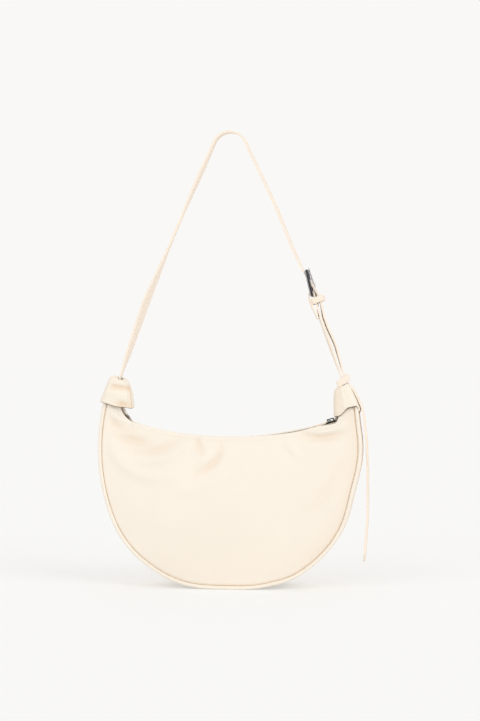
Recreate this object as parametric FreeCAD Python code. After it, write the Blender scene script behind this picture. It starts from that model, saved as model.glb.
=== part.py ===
import FreeCAD, Part
import math
import os
from FreeCAD import Vector

# Millimetres. X runs to the right, Y to the back and Z up. The bag stands on z = 0.

# Body outline seen from the front: flat base, then three arcs up to the horn
base_flat = 64.0
base_radius = 100.0
base_turn = 30.0
shoulder_radius = 145.0
shoulder_turn = 38.5
side_radius = 237.0
horn_top = 232.0
right_horn_top = 218.5
horn_width = 23.0
stand_flat = 0.4

# Depth of the body: gusset at the base and at the horns, mouth, and how far the panels swell
gusset_width = 70.0
gusset_end_width = 17.0
mouth_width = 22.6
belly = 13.0

# Sheets and seams
leather = 1.4
lining = 0.6
lining_gap = 0.4
lining_end = 0.1
lining_top = 0.93
piping_diameter = 4.6
piping_bore = 2.8
cord_gap = 0.1
seam_gap = 0.3
panel_gap = 0.5

# Zip: one arc from horn to horn, with the slider parked at the right
zip_radius = 420.0
zip_low = 179.5
zip_sink = 2.5
zip_park_gap = 8.0
zip_open_gap = 23.0
mouth_corner = 20.0
tape_thickness = 0.8
tape_inner = 1.2
tooth_pitch = 2.6
tooth_length = 1.0
tooth_height = 2.4
tooth_reach = 0.6
tooth_grip = 2.0
slider_length = 12.0
slider_width = 9.4
slider_plate = 1.2
slider_gap = 0.4
stop_length = 1.8
bail_width = 2.4
bail_height = 3.4
bail_span = 8.6
bail_bar = 1.2
pull_length = 22.0
pull_width = 7.6
pull_thickness = 1.4
pull_eye = 7.0

# Leather hoods over the horns: hem below the horn's end, top above it
cap_wall = 1.8
cap_hem_depth = 38.0
cap_top_depth = 21.0
cap_swell = 2.6
left_cap = dict(
    drop=8.0, rise=27.0, hem=41.0, top=16.0, hem_shift=4.0, top_shift=5.5, hem_tilt=10.0, top_tilt=6.0,
    swell=2.6, depth=8.0, offset=2.6,
)
right_cap = dict(
    drop=18.5, rise=9.5, hem=38.4, top=14.0, hem_shift=-0.4, top_shift=5.0, hem_tilt=13.0, top_tilt=16.0,
    swell=1.8, depth=6.5, offset=2.4,
)
slot_side_gap = 1.2
strap_swing = 15.0

# Strap anchors inside the hoods
strap_bend_at = 6.0
slot_from = 2.5
tab_cheek = 1.6
tab_gap = 0.3
tab_round = 4.2
tab_reach = 14.0
rivet_diameter = 3.4
rivet_head = 6.4
rivet_head_height = 0.9
rivet_play = 0.06

# Straps
strap_width = 20.0
strap_thickness = 2.6
strap_top = 552.0
strap_top_radius = 21.0
left_bow = 5.5
right_bow = 2.0
bow_radius = 260.0
short_thickness = 2.4
layer_gap = 0.3
layer_bow = 3.2
layer_close = 0.8
bar_gap = 0.9
heel_clear = 0.6
hole_length = 9.0
hole_width = 3.4
hole_pitch = 25.0
tail_drop = 213.0
tail_stand_off = 5.6
tail_bow = 2.5
tail_cap_gap = 3.2
tail_tip = 9.0

# Buckle on the right leg of the strap, placed from the right anchor
heel_in = 39.5
heel_rise = 121.9
frame_length = 29.0
frame_lean = 76.9
frame_bar = 4.0
frame_inside_gap = 1.2
frame_rail = 3.6
heel_diameter = 3.2
heel_gap = 0.2
prong_width = 2.6
prong_thickness = 2.2
prong_slot = 4.8
fold_back = 26.0

# Loops round the strap
keeper_inside = 12.5
keeper_length = 7.5
keeper_wall = 1.6
keeper_side_gap = 0.4
upper_keeper_at = 9.0
keeper_rest_gap = 8.0

# Number of stations along and across the leather sheets
stations = 33
rows = 7


def flat(x, z):
    return Vector(x, 0, z)


def spoke(angle):
    # direction at an angle from straight down, turning towards the right
    return flat(math.sin(angle), -math.cos(angle))


def segment_length(segment):
    if segment[0] == "line":
        return (segment[2] - segment[1]).Length
    return segment[2] * abs(segment[4] - segment[3])


def spot(track, s):
    # point and inward normal at a share s of the way from the left end of a track to its right end
    total = sum(segment_length(g) for g in track)
    run = (2 * s - 1) * total
    left = abs(run)
    for segment in track:
        length = segment_length(segment)
        if left <= length or segment is track[-1]:
            break
        left -= length
    share = min(left / length, 1.0)
    if segment[0] == "line":
        point = segment[1] + (segment[2] - segment[1]) * share
        normal = segment[3]
    else:
        direction = spoke(segment[3] + (segment[4] - segment[3]) * share)
        point = segment[1] + direction * segment[2]
        normal = direction * -1
    if run < 0:
        return flat(-point.x, point.z), flat(-normal.x, normal.z)
    return point, normal


# Outline track from the middle of the base to the right horn
turn_1 = math.radians(base_turn)
turn_2 = turn_1 + math.radians(shoulder_turn)
base_centre = flat(base_flat / 2, base_radius - stand_flat)
shoulder_centre = base_centre + spoke(turn_1) * (base_radius - shoulder_radius)
side_centre = shoulder_centre + spoke(turn_2) * (shoulder_radius - side_radius)
turn_3 = math.acos((side_centre.z - horn_top) / side_radius)
outline_track = [
    ("line", flat(0, -stand_flat), flat(base_flat / 2, -stand_flat), flat(0, 1)),
    ("arc", base_centre, base_radius, 0.0, turn_1),
    ("arc", shoulder_centre, shoulder_radius, turn_1, turn_2),
    ("arc", side_centre, side_radius, turn_2, turn_3),
]

# Mouth track: the zip's arc, a round corner, then straight up the inner edge of the horn
zip_centre = flat(0, zip_low + zip_radius)
mouth_radius = zip_radius - zip_sink
horn_out, horn_in_normal = spot(outline_track, 1.0)
horn_in = horn_out + horn_in_normal * horn_width
zip_closed_at = math.degrees(math.asin((horn_in.x - zip_park_gap) / zip_radius))
zip_open_at = math.degrees(math.asin((horn_in.x - zip_open_gap) / zip_radius))
horn_middle = (horn_out + horn_in) * 0.5
horn_down = flat(-horn_in_normal.z, horn_in_normal.x)
if horn_down.z > 0:
    horn_down = horn_down * -1
reach = horn_in + horn_in_normal * mouth_corner - zip_centre
along = reach.dot(horn_down)
corner_run = -along + math.sqrt(along ** 2 - reach.dot(reach) + (mouth_radius - mouth_corner) ** 2)
corner_centre = zip_centre + reach + horn_down * corner_run
corner_from = math.atan2(corner_centre.x, zip_centre.z - corner_centre.z)
corner_to = math.atan2(-horn_in_normal.x, horn_in_normal.z)
mouth_track = [
    ("arc", zip_centre, mouth_radius, 0.0, corner_from),
    ("arc", corner_centre, mouth_corner, corner_from, corner_to),
    ("line", corner_centre - horn_in_normal * mouth_corner, horn_in, horn_in_normal),
]


def fullness(s):
    return math.sin(math.pi * s)


def half_gusset(s):
    return gusset_end_width / 2 + (gusset_width - gusset_end_width) / 2 * fullness(s)


def half_depth(s, t):
    # half the depth of the body on the way from the piping, t = 0, to the mouth, t = 1
    swell = belly * fullness(s) ** 2 * 4 * t * (1 - t)
    return half_gusset(s) * (1 - t) + mouth_width / 2 * t + swell


def panel_spot(s, t, shift):
    edge, normal = spot(outline_track, s)
    edge = edge + normal * (piping_diameter + panel_gap)
    mouth, up = spot(mouth_track, s)
    point = edge + (mouth - edge) * t
    return Vector(point.x, -half_depth(s, t) - shift, point.z)


def gusset_spot(s, v, inset, edge_gap):
    point, normal = spot(outline_track, s)
    point = point + normal * inset
    return Vector(point.x, v * (half_gusset(s) - edge_gap), point.z)


def spread(first, last, count):
    return [first + (last - first) * i / (count - 1) for i in range(count)]


def skin(grid):
    surface = Part.BSplineSurface()
    surface.interpolate(grid)
    return surface.toShape()


def sheet(outer_grid, inner_grid):
    # closed solid between two sheets of points, joined round their four edges
    outer = skin(outer_grid)
    inner = skin(inner_grid)
    faces = [outer, inner]
    for edge in outer.Edges:
        middle = edge.valueAt((edge.FirstParameter + edge.LastParameter) / 2)
        mate = min(
            inner.Edges,
            key=lambda e: (e.valueAt((e.FirstParameter + e.LastParameter) / 2) - middle).Length,
        )
        faces.append(Part.makeRuledSurface(edge, mate))
    shell = Part.makeShell(faces)
    shell.sewShape()
    solid = Part.Solid(Part.Shell(shell.Faces))
    if solid.Volume < 0:
        solid.reverse()
    return solid


def panel_sheet(shift_out, shift_in, s_range, t_range):
    s_values = spread(s_range[0], s_range[1], stations)
    t_values = spread(t_range[0], t_range[1], rows)
    outer = [[panel_spot(s, t, shift_out) for t in t_values] for s in s_values]
    inner = [[panel_spot(s, t, shift_in) for t in t_values] for s in s_values]
    return sheet(outer, inner)


def gusset_sheet(inset_out, inset_in, edge_gap, s_range):
    s_values = spread(s_range[0], s_range[1], 2 * stations - 1)
    outer = [[gusset_spot(s, v, inset_out, edge_gap) for v in (-1, 0, 1)] for s in s_values]
    inner = [[gusset_spot(s, v, inset_in, edge_gap) for v in (-1, 0, 1)] for s in s_values]
    return sheet(outer, inner)


def seam_tube(diameter):
    # round bead along the front seam
    def centre(s):
        return gusset_spot(s, -1, piping_diameter / 2, 0)

    rings = []
    for s in spread(0, 1, stations):
        ahead = centre(min(s + 0.004, 1))
        behind = centre(max(s - 0.004, 0))
        rings.append(Part.Wire(Part.makeCircle(diameter / 2, centre(s), ahead - behind)))
    return Part.makeLoft(rings, True, False)


def box_between(low, high):
    size = high - low
    return Part.makeBox(size.x, size.y, size.z, low)


def mirrored(shape):
    return shape.mirror(Vector(0, 0, 0), Vector(0, 1, 0))


def spin(shape, degrees):
    # turns a zip piece made at the lowest point of the arc to its place on the arc, right is positive
    turned = shape.copy()
    turned.rotate(zip_centre, Vector(0, -1, 0), degrees)
    return turned


def arc_degrees(distance):
    return math.degrees(distance / zip_radius)


def polygon_face(points):
    return Part.Face(Part.makePolygon(points + [points[0]]))


def zip_box(x_range, y_range, h_range):
    low = Vector(x_range[0], y_range[0], zip_low + h_range[0])
    high = Vector(x_range[1], y_range[1], zip_low + h_range[1])
    return box_between(low, high)


# Leather shell, pressed flat where it stands; the right horn stops lower, under its lower hood
below_floor = box_between(Vector(-400, -200, -50), Vector(400, 200, 0))
above_right_horn = box_between(Vector(horn_in.x - 40, -200, right_horn_top), Vector(400, 200, horn_top + 50))
front_panel = panel_sheet(leather / 2, -leather / 2, (0, 1), (0, 1)).cut(above_right_horn)
gusset = gusset_sheet(0, leather, piping_diameter / 2 + seam_gap, (0, 1)).cut([below_floor, above_right_horn])
front_piping = seam_tube(piping_diameter).cut([seam_tube(piping_bore), below_floor, above_right_horn])
front_piping_cord = seam_tube(piping_bore - 2 * cord_gap).cut(above_right_horn)

# Lining, a thin bag just inside the leather
lining_out = -leather / 2 - lining_gap
lining_span = (lining_end, 1 - lining_end)
front_lining = panel_sheet(lining_out, lining_out - lining, lining_span, (0, lining_top))
gusset_lining = gusset_sheet(
    leather + lining_gap, leather + lining_gap + lining, piping_diameter / 2 + 2 * seam_gap, lining_span
)

# Zip tapes
tape_edge = mouth_width / 2 - leather / 2 - seam_gap
stop_at = zip_closed_at + arc_degrees(slider_length / 2 + seam_gap + stop_length / 2)
open_stop_at = zip_open_at + arc_degrees(slider_length / 2 + seam_gap + stop_length / 2)
tape_end = stop_at + arc_degrees(stop_length)
tape_section = polygon_face(
    [
        Vector(0, -tape_edge, zip_low - tape_thickness / 2),
        Vector(0, -tape_inner, zip_low - tape_thickness / 2),
        Vector(0, -tape_inner, zip_low + tape_thickness / 2),
        Vector(0, -tape_edge, zip_low + tape_thickness / 2),
    ]
)
front_zip_tape = spin(tape_section, -tape_end).revolve(zip_centre, Vector(0, -1, 0), 2 * tape_end)

# Zip teeth: each grips the tape edge, and the two rows mesh half a pitch apart
grip_slot = tape_thickness / 2 + 0.05
tooth_section = [
    Vector(0, -tape_inner - tooth_grip, tooth_height / 2),
    Vector(0, tooth_reach, tooth_height / 2),
    Vector(0, tooth_reach, -tooth_height / 2),
    Vector(0, -tape_inner - tooth_grip, -tooth_height / 2),
    Vector(0, -tape_inner - tooth_grip, -grip_slot),
    Vector(0, -tape_inner + 0.05, -grip_slot),
    Vector(0, -tape_inner + 0.05, grip_slot),
    Vector(0, -tape_inner - tooth_grip, grip_slot),
]
tooth_corner = Vector(-tooth_length / 2, 0, zip_low)
front_tooth = polygon_face([p + tooth_corner for p in tooth_section]).extrude(Vector(tooth_length, 0, 0))
back_tooth = mirrored(front_tooth)
pitch_angle = arc_degrees(tooth_pitch)
first_tooth = -open_stop_at + arc_degrees(stop_length / 2 + seam_gap + tooth_length)
tooth_count = int((zip_closed_at - first_tooth) / pitch_angle)
front_zip_teeth = Part.makeCompound(
    [spin(front_tooth, first_tooth + i * pitch_angle) for i in range(tooth_count)]
)
back_zip_teeth = Part.makeCompound(
    [spin(back_tooth, first_tooth + (i + 0.5) * pitch_angle) for i in range(tooth_count)]
)

# Zip end stops
stop_half = tape_inner + tooth_grip


def stop_clamp(y_range):
    block = zip_box((-stop_length / 2, stop_length / 2), y_range, (-tooth_height / 2, tooth_height / 2))
    for side in (-1, 1):
        slit = sorted((side * (tape_inner - 0.05), side * (stop_half + 1)))
        block = block.cut(zip_box((-stop_length, stop_length), slit, (-grip_slot, grip_slot)))
    return block


top_stop = spin(stop_clamp((-stop_half, -tape_inner + 0.8)), stop_at)
zip_top_stops = Part.makeCompound([top_stop, mirrored(top_stop)])
zip_bottom_stop = spin(stop_clamp((-stop_half, stop_half)), -open_stop_at)

# Zip slider: two plates with side flanges, joined by a post ahead of the last tooth, and a bail on top
channel = tooth_height / 2 + slider_gap
plate_top = channel + slider_plate
half_length = slider_length / 2
half_width = slider_width / 2
flange_inner = tape_inner + tooth_grip + slider_gap
tape_slit = tape_thickness / 2 + slider_gap
slider_body = zip_box((-half_length, half_length), (-half_width, half_width), (-plate_top, plate_top))
slider_body = slider_body.cut(zip_box((-20, 20), (-flange_inner, flange_inner), (-channel, channel)))
slider_body = slider_body.cut(zip_box((-20, 20), (-20, 20), (-tape_slit, tape_slit)))
post_from = half_length - 3.2
post = zip_box((post_from, half_length - 0.6), (-0.7, 0.7), (-channel - 0.3, channel + 0.3))
bail_outer = zip_box(
    (-bail_span / 2, bail_span / 2),
    (-bail_width / 2, bail_width / 2),
    (plate_top - 0.2, plate_top + bail_height),
)
bail_hole = zip_box(
    (-bail_span / 2 + bail_bar, bail_span / 2 - bail_bar),
    (-bail_width, bail_width),
    (plate_top, plate_top + bail_height - bail_bar),
)
slider_at_low = slider_body.fuse([post, bail_outer.cut(bail_hole)]).removeSplitter()
zip_slider = spin(slider_at_low, zip_closed_at)

# Zip pull: cross bar under the bail, two arms and a tab that lies down along the zip
pull_pivot_h = plate_top + pull_thickness / 2 + seam_gap
pull_pivot = Vector(0, 0, zip_low + pull_pivot_h)
arm_inner = bail_width / 2 + 0.6
pull_bar = Part.makeCylinder(
    pull_thickness / 2, pull_width, pull_pivot - Vector(0, pull_width / 2, 0), Vector(0, 1, 0)
)
pull_tab = zip_box(
    (-pull_length, 0), (-pull_width / 2, pull_width / 2),
    (pull_pivot_h - pull_thickness / 2, pull_pivot_h + pull_thickness / 2),
)
pull_window = zip_box((-pull_eye, 5), (-arm_inner, arm_inner), (pull_pivot_h - 5, pull_pivot_h + 5))
pull_at_low = pull_tab.cut(pull_window).fuse(pull_bar).removeSplitter()
zip_pull = spin(pull_at_low, zip_closed_at)
zip_pull_pivot = spin(Part.Vertex(pull_pivot), zip_closed_at).Point


# Hoods over the horns
def rounded_section(centre, across, width, depth):
    # rounded rectangle, wide along a slanted line and deep along Y
    radius = 0.36 * min(width, depth)
    long_side = across * (width / 2)
    deep_side = Vector(0, depth / 2, 0)
    edges = []
    near_left = long_side * -1 - deep_side
    corners = [long_side + deep_side, deep_side - long_side, near_left, long_side - deep_side]
    back = Vector(0, 1, 0)
    ins = [(across, back), (across * -1, back), (across * -1, back * -1), (across, back * -1)]
    starts = []
    for i, (corner, (a, d)) in enumerate(zip(corners, ins)):
        middle = centre + corner - (a + d) * radius
        on_a = middle + a * radius
        on_d = middle + d * radius
        tip = middle + (a + d) * (radius / math.sqrt(2))
        first, last = (on_a, on_d) if i % 2 == 0 else (on_d, on_a)
        starts.append((first, tip, last))
    for i, (first, tip, last) in enumerate(starts):
        edges.append(Part.Arc(first, tip, last).toShape())
        edges.append(Part.makeLine(last, starts[(i + 1) % 4][0]))
    return Part.Wire(edges)


def cap_frame(cap, side):
    # centres of hem and top and their slants, for the hood on the left (-1) or the right (1)
    middle = flat(side * horn_middle.x, horn_middle.z)
    hem = middle + flat(-side * cap["hem_shift"], -cap["drop"])
    top = middle + flat(-side * cap["top_shift"], cap["rise"])
    return hem, top


def cap_solid(cap, side, shrink, u_from, u_to):
    hem, top = cap_frame(cap, side)
    sections = []
    for u in spread(u_from, u_to, 5):
        tilt = math.radians(cap["hem_tilt"] + (cap["top_tilt"] - cap["hem_tilt"]) * u)
        across = flat(math.cos(tilt), side * math.sin(tilt))
        width = cap["hem"] + (cap["top"] - cap["hem"]) * max(u, 0) ** cap["swell"] - 2 * shrink
        depth = cap_hem_depth + (cap_top_depth - cap_hem_depth) * max(u, 0) ** cap_swell - 2 * shrink
        sections.append(rounded_section(hem + (top - hem) * u, across, width, depth))
    return Part.makeLoft(sections, True, False)


def cap_hood(cap, side):
    hem, top = cap_frame(cap, side)
    roof = cap_wall / (top - hem).Length
    return cap_solid(cap, side, 0, 0, 1).cut(cap_solid(cap, side, cap_wall, -0.12, 1 - roof))


left_hem, left_top = cap_frame(left_cap, -1)
right_hem, right_top = cap_frame(right_cap, 1)
left_anchor = left_top + flat(left_cap["offset"], -left_cap["depth"])
right_anchor = right_top + flat(right_cap["offset"], -right_cap["depth"])
swing_axis = (right_anchor - left_anchor).normalize()
swing_up = flat(-swing_axis.z, swing_axis.x)


# Straps are ribbons: a centre line of straight runs and round bends, seen from the front
def bend_points(vertices, radii, i):
    before = (vertices[i] - vertices[i - 1]).normalize()
    after = (vertices[i + 1] - vertices[i]).normalize()
    turn = math.atan2(before.x * after.z - before.z * after.x, before.dot(after))
    run = radii[i] * math.tan(abs(turn) / 2)
    side = 1 if turn > 0 else -1
    centre = vertices[i] - before * run + flat(-before.z, before.x) * (side * radii[i])
    return vertices[i] - before * run, vertices[i] + after * run, centre


def ribbon_side(vertices, radii, offset):
    edges = []
    first = (vertices[1] - vertices[0]).normalize()
    at = vertices[0] + flat(-first.z, first.x) * offset
    for i in range(1, len(vertices) - 1):
        start, end, centre = bend_points(vertices, radii, i)
        before = (vertices[i] - vertices[i - 1]).normalize()
        after = (vertices[i + 1] - vertices[i]).normalize()
        start = start + flat(-before.z, before.x) * offset
        end = end + flat(-after.z, after.x) * offset
        middle = centre + ((start + end) * 0.5 - centre).normalize() * (start - centre).Length
        if (start - at).Length > 0.001:
            edges.append(Part.makeLine(at, start))
        edges.append(Part.Arc(start, middle, end).toShape())
        at = end
    last = (vertices[-1] - vertices[-2]).normalize()
    end = vertices[-1] + flat(-last.z, last.x) * offset
    edges.append(Part.makeLine(at, end))
    return edges


def ribbon(vertices, radii, thickness, width):
    one = ribbon_side(vertices, radii, thickness / 2)
    other = ribbon_side(vertices, radii, -thickness / 2)
    ends = [
        Part.makeLine(one[0].Vertexes[0].Point, other[0].Vertexes[0].Point),
        Part.makeLine(one[-1].Vertexes[-1].Point, other[-1].Vertexes[-1].Point),
    ]
    outline = Part.Wire(Part.__sortEdges__(one + other + ends))
    return Part.Face(outline).extrude(Vector(0, width, 0)).translated(Vector(0, -width / 2, 0))


def tangent_vertex_line(point, centre, radius, side):
    # unit direction from a point along the line that touches a circle on its left (1) or right (-1)
    to_centre = centre - point
    turn = side * math.asin(radius / to_centre.Length)
    base = math.atan2(to_centre.z, to_centre.x) + turn
    return flat(math.cos(base), math.sin(base))


def crossing(p, d, q, e):
    share = ((q.x - p.x) * e.z - (q.z - p.z) * e.x) / (d.x * e.z - d.z * e.x)
    return p + d * share


# Buckle frame directions: up along the frame, and out to its show side
heel = right_anchor + flat(-heel_in, heel_rise)
lean = math.radians(frame_lean)
frame_up = flat(-math.cos(lean), math.sin(lean))
frame_out = flat(math.sin(lean), math.cos(lean))
far_bar = heel + frame_up * frame_length

# Short strap: from its anchor straight to the heel bar, round it, and back down on the inside
fold_radius = heel_diameter / 2 + heel_gap + short_thickness / 2
short_bend = right_anchor + swing_up * strap_bend_at
short_up = tangent_vertex_line(short_bend, heel, fold_radius, -1)
short_out = flat(short_up.z, -short_up.x)


def on_short(down, out):
    # point a distance down from the heel bar along the short strap, and out from the bar's centre
    return heel - short_up * down + short_out * out


pinch = fold_radius - short_thickness - layer_gap / 2
fold_tip = on_short(fold_back, pinch)
short_vertices = [
    right_anchor - swing_up * (strap_width / 2),
    short_bend,
    on_short(-fold_radius, fold_radius),
    on_short(-fold_radius, -fold_radius),
    on_short(0.25 * fold_back, -fold_radius),
    on_short(0.65 * fold_back, pinch),
    fold_tip,
]
short_radii = [0, 10.0, fold_radius, fold_radius, 14.0, 14.0, 0]
buckle_strap = ribbon(short_vertices, short_radii, short_thickness, strap_width)
prong_gap = Part.makeBox(40, prong_slot, 2 * fold_radius + short_thickness + 9)
prong_gap.translate(Vector(heel.x - 20, -prong_slot / 2, heel.z - 7))
buckle_strap = buckle_strap.cut(prong_gap)

# Long strap: left anchor, over the top, under the far bar, over the heel bar and down to the sliding loop
strap_out = fold_radius + short_thickness / 2 + heel_clear + strap_thickness / 2
bow_out = strap_out + layer_bow
under_far = far_bar - frame_out * (frame_bar / 2 + bar_gap + strap_thickness / 2)
left_bend = left_anchor + swing_up * strap_bend_at
top_centre = flat(0, strap_top - strap_thickness / 2 - strap_top_radius)


def bowed(low, share, bow, side):
    # point part of the way from a low point to the strap's top, pushed out to the left (1) or right (-1)
    run = tangent_vertex_line(low, top_centre, strap_top_radius, side)
    return low + run * ((top_centre - low).Length * share) + flat(-run.z, run.x) * (side * bow)


left_middle = bowed(left_bend, 0.32, left_bow, 1)
right_middle = bowed(under_far, 0.5, right_bow, -1)
left_leg = (left_middle - left_bend).normalize()
right_leg = (right_middle - under_far).normalize()
left_slope = tangent_vertex_line(left_middle, top_centre, strap_top_radius, 1)
right_slope = tangent_vertex_line(right_middle, top_centre, strap_top_radius, -1)
strap_apex = crossing(left_middle, left_slope, right_middle, right_slope)
short_length = (short_bend - heel).Length
keeper_low = short_length - keeper_rest_gap
tail_pivot = on_short(keeper_low + 1.0, strap_out + layer_close)
tail_round = strap_thickness / 2
strap_end = tail_pivot + short_up * (tail_round + layer_gap)
long_vertices = [
    left_anchor - swing_up * (strap_width / 2),
    left_bend,
    left_middle,
    strap_apex,
    right_middle,
    under_far,
    on_short(0, strap_out),
    on_short(upper_keeper_at + keeper_length, strap_out),
    on_short(0.42 * short_length, bow_out),
    strap_end,
]
long_radii = [0, 10.0, bow_radius, strap_top_radius, bow_radius, 30.0, 30.0, 40.0, 60.0, 0]
long_strap = ribbon(long_vertices, long_radii, strap_thickness, strap_width)


# Strap ends turn on the rivets, so each end is round about its rivet and has the rivet's hole
def axis_cylinder(anchor, radius, length):
    return Part.makeCylinder(radius, length, anchor - swing_axis * (length / 2), swing_axis)


def round_end(strap, anchor):
    corner = box_between(Vector(-30, -30, -60), Vector(30, 30, 0))
    corner.rotate(Vector(0, 0, 0), Vector(0, 1, 0), math.degrees(math.atan2(swing_up.x, swing_up.z)))
    corner.translate(anchor)
    corner = corner.cut(axis_cylinder(anchor, strap_width / 2, 80))
    near = box_between(anchor - Vector(12, 20, 16), anchor + Vector(12, 20, 4))
    strap = strap.cut(corner.common(near))
    return strap.cut(axis_cylinder(anchor, rivet_diameter / 2 + rivet_play, 30))


long_strap = round_end(long_strap, left_anchor)
buckle_strap = round_end(buckle_strap, right_anchor)

# Anchor tabs: two cheeks beside the strap end, joined below it inside the horn
tab_half = (gusset_end_width + mouth_width) / 4 - leather / 2 - seam_gap


def anchor_tab(anchor, thickness, foot):
    gap = thickness / 2 + tab_gap
    depth = anchor.z - foot
    outer = box_between(Vector(-gap - tab_cheek, -tab_half, -depth), Vector(gap + tab_cheek, tab_half, -7))
    neck = box_between(Vector(-gap - tab_cheek, -tab_round, -8), Vector(gap + tab_cheek, tab_round, 0))
    gullet = box_between(Vector(-gap, -30, -strap_width / 2 - 1), Vector(gap, 30, 20))
    tab = outer.fuse(neck)
    tab.rotate(Vector(0, 0, 0), Vector(0, 1, 0), math.degrees(math.atan2(swing_up.x, swing_up.z)))
    gullet.rotate(Vector(0, 0, 0), Vector(0, 1, 0), math.degrees(math.atan2(swing_up.x, swing_up.z)))
    tab.translate(anchor)
    gullet.translate(anchor)
    tab = tab.fuse(axis_cylinder(anchor, tab_round, 2 * (gap + tab_cheek))).removeSplitter()
    return tab.cut(gullet).cut(axis_cylinder(anchor, rivet_diameter / 2 + 0.02, 40))


def anchor_rivet(anchor, thickness):
    grip = thickness + 2 * tab_gap + 2 * tab_cheek
    pin = axis_cylinder(anchor, rivet_diameter / 2, grip + 2 * rivet_head_height)
    heads = axis_cylinder(anchor, rivet_head / 2, grip + 2 * rivet_head_height)
    heads = heads.cut(axis_cylinder(anchor, rivet_head, grip + 0.1))
    return pin.fuse(heads).removeSplitter()


left_anchor_tab = anchor_tab(left_anchor, strap_thickness, horn_top - tab_reach)
right_anchor_tab = anchor_tab(right_anchor, short_thickness, right_horn_top - tab_reach)
left_anchor_rivet = anchor_rivet(left_anchor, strap_thickness)
right_anchor_rivet = anchor_rivet(right_anchor, short_thickness)


# Hood slots, long enough for the strap to lean to the front and to the back
def slot(cap, anchor, bend, leg, thickness):
    lean_angle = math.radians(strap_swing)
    half = strap_width / 2 / math.cos(lean_angle) + cap["depth"] * math.tan(lean_angle) + seam_gap
    low = anchor + swing_up * slot_from
    high = bend + leg * 12
    return ribbon([low, bend, high], [0, 10.0, 0], thickness + 2 * slot_side_gap, 2 * half)


left_end_cap = cap_hood(left_cap, -1).cut(slot(left_cap, left_anchor, left_bend, left_leg, strap_thickness))
right_slot = slot(right_cap, right_anchor, short_bend, short_up, short_thickness)
right_end_cap = cap_hood(right_cap, 1).cut(right_slot)

# Free end of the strap: over the shoulder of the right hood, then straight down beside the bag
hem_half = right_cap["hem"] / 2
cap_edge = right_hem + flat(hem_half, hem_half * math.tan(math.radians(right_cap["hem_tilt"])))
cap_exit = cap_edge + flat(tail_cap_gap, 5.0)
tail_slant = (cap_exit - tail_pivot).normalize()
side_x = max(spot(outline_track, s)[0].x for s in spread(0.5, 1, 60)) + tail_stand_off
tail_foot = tail_pivot.z - tail_drop
tail_vertices = [
    tail_pivot,
    (tail_pivot + cap_exit) * 0.5 + flat(-tail_slant.z, tail_slant.x) * tail_bow,
    cap_exit,
    flat(side_x, 0.62 * tail_pivot.z),
    flat(side_x + 0.6, 0.4 * tail_pivot.z),
    flat(side_x - 4.4, tail_foot),
]
tail_radii = [0, 20.0, 30.0, 90.0, 120.0, 0]
strap_tail = ribbon(tail_vertices, tail_radii, strap_thickness, strap_width)
strap_tail = strap_tail.fuse(
    Part.makeCylinder(tail_round, strap_width, tail_pivot - Vector(0, strap_width / 2, 0), Vector(0, 1, 0))
).removeSplitter()
for side in (-1, 1):
    tip_cut = polygon_face(
        [
            Vector(tail_vertices[-1].x - 20, 0, tail_foot - 1),
            Vector(tail_vertices[-1].x - 20, side * (strap_width / 2 + 1), tail_foot - 1),
            Vector(tail_vertices[-1].x - 20, side * (strap_width / 2 + 1), tail_foot + tail_tip + 1),
        ]
    ).extrude(Vector(40, 0, 0))
    strap_tail = strap_tail.cut(tip_cut)


# Strap holes, one at the prong and others a pitch apart above it and on the free end
def strap_hole(centre, down):
    normal = flat(-down.z, down.x)
    cut = box_between(
        Vector(-(hole_length - hole_width) / 2, -hole_width / 2, -5),
        Vector((hole_length - hole_width) / 2, hole_width / 2, 5),
    )
    for end in (-1, 1):
        centre_end = Vector(end * (hole_length - hole_width) / 2, 0, -5)
        cut = cut.fuse(Part.makeCylinder(hole_width / 2, 10, centre_end))
    cut = cut.removeSplitter()
    placed = FreeCAD.Matrix(
        down.x, 0, normal.x, centre.x,
        0, 1, 0, 0,
        down.z, 0, normal.z, centre.z,
        0, 0, 0, 1,
    )
    cut.transformShape(placed)
    return cut


over_heel = on_short(0, strap_out)
slant = (over_heel - under_far).normalize()
prong_hole = over_heel - slant * 4.9
long_strap = long_strap.cut(strap_hole(prong_hole, slant))
for i in (1, 2):
    hole_at = under_far + right_leg * (i * hole_pitch - (under_far - prong_hole).Length)
    long_strap = long_strap.cut(strap_hole(hole_at, right_leg * -1))
tail_run = (tail_vertices[4] - tail_vertices[3]).normalize()
for i in (0, 1):
    strap_tail = strap_tail.cut(strap_hole(tail_vertices[3] + tail_run * (12 + i * hole_pitch), tail_run))


# Buckle: frame with a heel bar, and a prong that turns on the bar
def in_frame(up, out):
    return heel + frame_up * up + frame_out * out


def frame_block(up_range, half_y, half_out):
    block = Part.makeBox(2 * half_out, 2 * half_y, up_range[1] - up_range[0])
    block.translate(Vector(-half_out, -half_y, up_range[0]))
    block.rotate(Vector(0, 0, 0), Vector(0, 1, 0), frame_lean - 90)
    block.translate(heel)
    return block


frame_half = strap_width / 2 + frame_inside_gap + frame_rail
ring = frame_block((-frame_bar / 2, frame_length + frame_bar / 2), frame_half, frame_bar / 2)
long_edges = [
    e for e in ring.Edges if abs((e.Vertexes[0].Point - e.Vertexes[1].Point).Length - frame_bar) < 0.01
]
ring = ring.makeFillet(3.5, long_edges)
window = frame_block((-20, frame_length - frame_bar / 2), strap_width / 2 + frame_inside_gap, 10)
heel_half = frame_half - frame_rail / 2
heel_bar = Part.makeCylinder(
    heel_diameter / 2, 2 * heel_half, heel - Vector(0, heel_half, 0), Vector(0, 1, 0)
)
buckle_frame = ring.cut(window).fuse(heel_bar).removeSplitter()

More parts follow.
